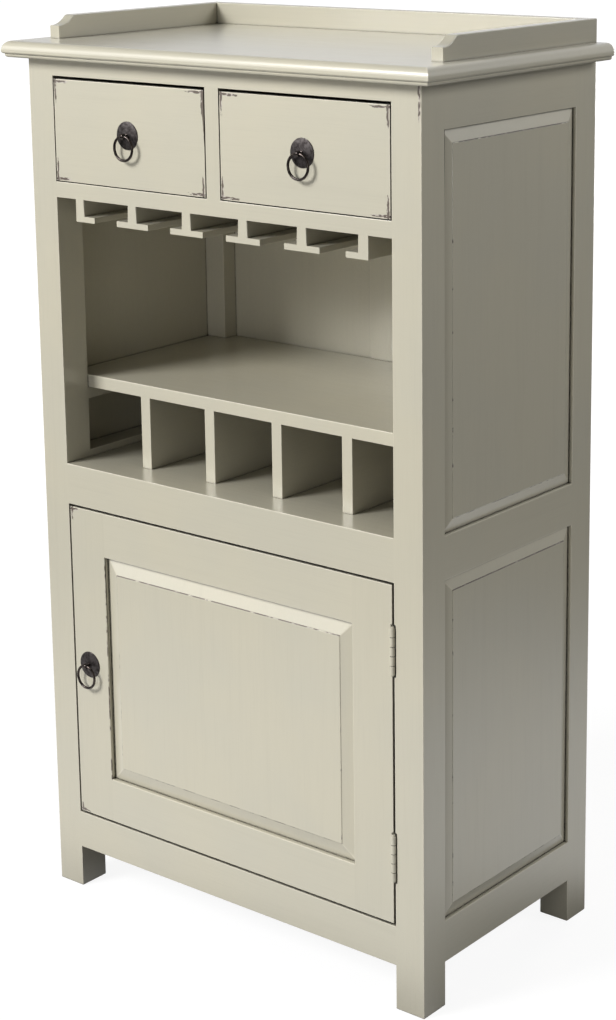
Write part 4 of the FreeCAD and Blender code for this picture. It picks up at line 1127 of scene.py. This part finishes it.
def light_world(context):
    """White behind the cabinet where it is seen or mirrored, a bright box for gloss, and soft light."""
    stage = context.scene.cabinet_stage
    world = bpy.data.worlds.new("studio")
    context.scene.world = world
    world.use_nodes = True
    tree = world.node_tree
    path = add_node(tree, "ShaderNodeLightPath").outputs
    way = add_node(tree, "ShaderNodeTexCoord").outputs["Generated"]
    soft = lobe(tree, way, WINDOW, stage.window)
    behind = ramp(tree, vectors(tree, "DOT_PRODUCT", way, REAR), 0.3, 0.75, 0.1, 0.78)
    box = ramp(tree, vectors(tree, "DOT_PRODUCT", way, BOX), 0.92, 0.98, 0.0, stage.box)
    level = either(tree, path["Is Glossy Ray"], soft, maths(tree, "ADD", behind, box))
    seen = maths(tree, "MAXIMUM", path["Is Camera Ray"], path["Is Transmission Ray"])
    tree.links.new(either(tree, seen, level, 1.0), tree.nodes["Background"].inputs["Strength"])
    tree.nodes["Background"].inputs["Color"].default_value = (1, 1, 1, 1)


def hang_lamps(stage):
    """A wide lamp at the front left, low ones in front and behind, and a weak one on the right."""
    aim = Vector((0, 0, 0.6))
    for name, place, width, power in (
        ("key", Vector((-2.6, -5.2, 4.3)), 2.4, stage.key),
        ("front", Vector((1.5, -6.0, 0.9)), 2.0, stage.front),
        ("side", Vector((3.3, 1.8, 2.6)), 1.5, stage.side),
        ("back", Vector((-0.8, 6.0, 1.0)), 2.0, stage.back),
    ):
        bpy.ops.object.light_add(type="AREA", location=place)
        lamp = bpy.context.object
        lamp.name = name
        lamp.rotation_euler = (aim - place).to_track_quat("-Z", "Y").to_euler()
        lamp.data.size = width
        lamp.data.energy = power


def aim_camera(context):
    """The photograph's viewpoint and framing."""
    stage = context.scene.cabinet_stage
    around = stage.azimuth
    down = stage.elevation
    ahead = Vector((-math.sin(around) * math.cos(down), math.cos(around) * math.cos(down), -math.sin(down)))
    right = Vector((math.cos(around), math.sin(around), 0))
    up = right.cross(ahead)
    turn = Matrix((right, up, -ahead)).transposed() @ Matrix.Rotation(stage.roll, 3, "Z")
    bpy.ops.object.camera_add()
    camera = bpy.context.object
    camera.matrix_world = Matrix.Translation(stage.eye) @ turn.to_4x4()
    camera.data.lens = stage.lens
    camera.data.shift_x, camera.data.shift_y = stage.shift
    context.scene.camera = camera


OPERATORS = (
    CABINET_OT_posts, CABINET_OT_front_frame, CABINET_OT_sides, CABINET_OT_back, CABINET_OT_top,
    CABINET_OT_inside, CABINET_OT_drawers, CABINET_OT_door, CABINET_OT_hinges, CABINET_OT_catch,
    CABINET_OT_pulls, CABINET_OT_stage,
)
SETTINGS = {
    "cabinet_paint": CabinetPaint,
    "cabinet_hardware": CabinetHardware,
    "cabinet_drawer_wood": CabinetDrawerWood,
    "cabinet_stage": CabinetStage,
}


class VIEW3D_PT_cabinet(bpy.types.Panel):
    """Sidebar panel that lists the steps"""
    bl_label = "Wine cabinet"
    bl_space_type = "VIEW_3D"
    bl_region_type = "UI"
    bl_category = "Cabinet"

    def draw(self, context):
        """One button for each step, then the settings."""
        for operator in OPERATORS:
            self.layout.operator(operator.bl_idname)
        for name, group in SETTINGS.items():
            box = self.layout.box()
            for setting in group.__annotations__:
                box.prop(getattr(context.scene, name), setting)


def register():
    """Make the settings, steps and panel known to Blender."""
    for group in (*SETTINGS.values(), *OPERATORS, VIEW3D_PT_cabinet):
        bpy.utils.register_class(group)
    for name, group in SETTINGS.items():
        setattr(bpy.types.Scene, name, PointerProperty(type=group))


def unregister():
    """Take them away again."""
    for name in SETTINGS:
        delattr(bpy.types.Scene, name)
    for group in (VIEW3D_PT_cabinet, *reversed(OPERATORS), *SETTINGS.values()):
        bpy.utils.unregister_class(group)


def main():
    """Run every step."""
    register()
    for operator in OPERATORS:
        group, name = operator.bl_idname.split(".")
        getattr(getattr(bpy.ops, group), name)()


if __name__ == "__main__":
    main()
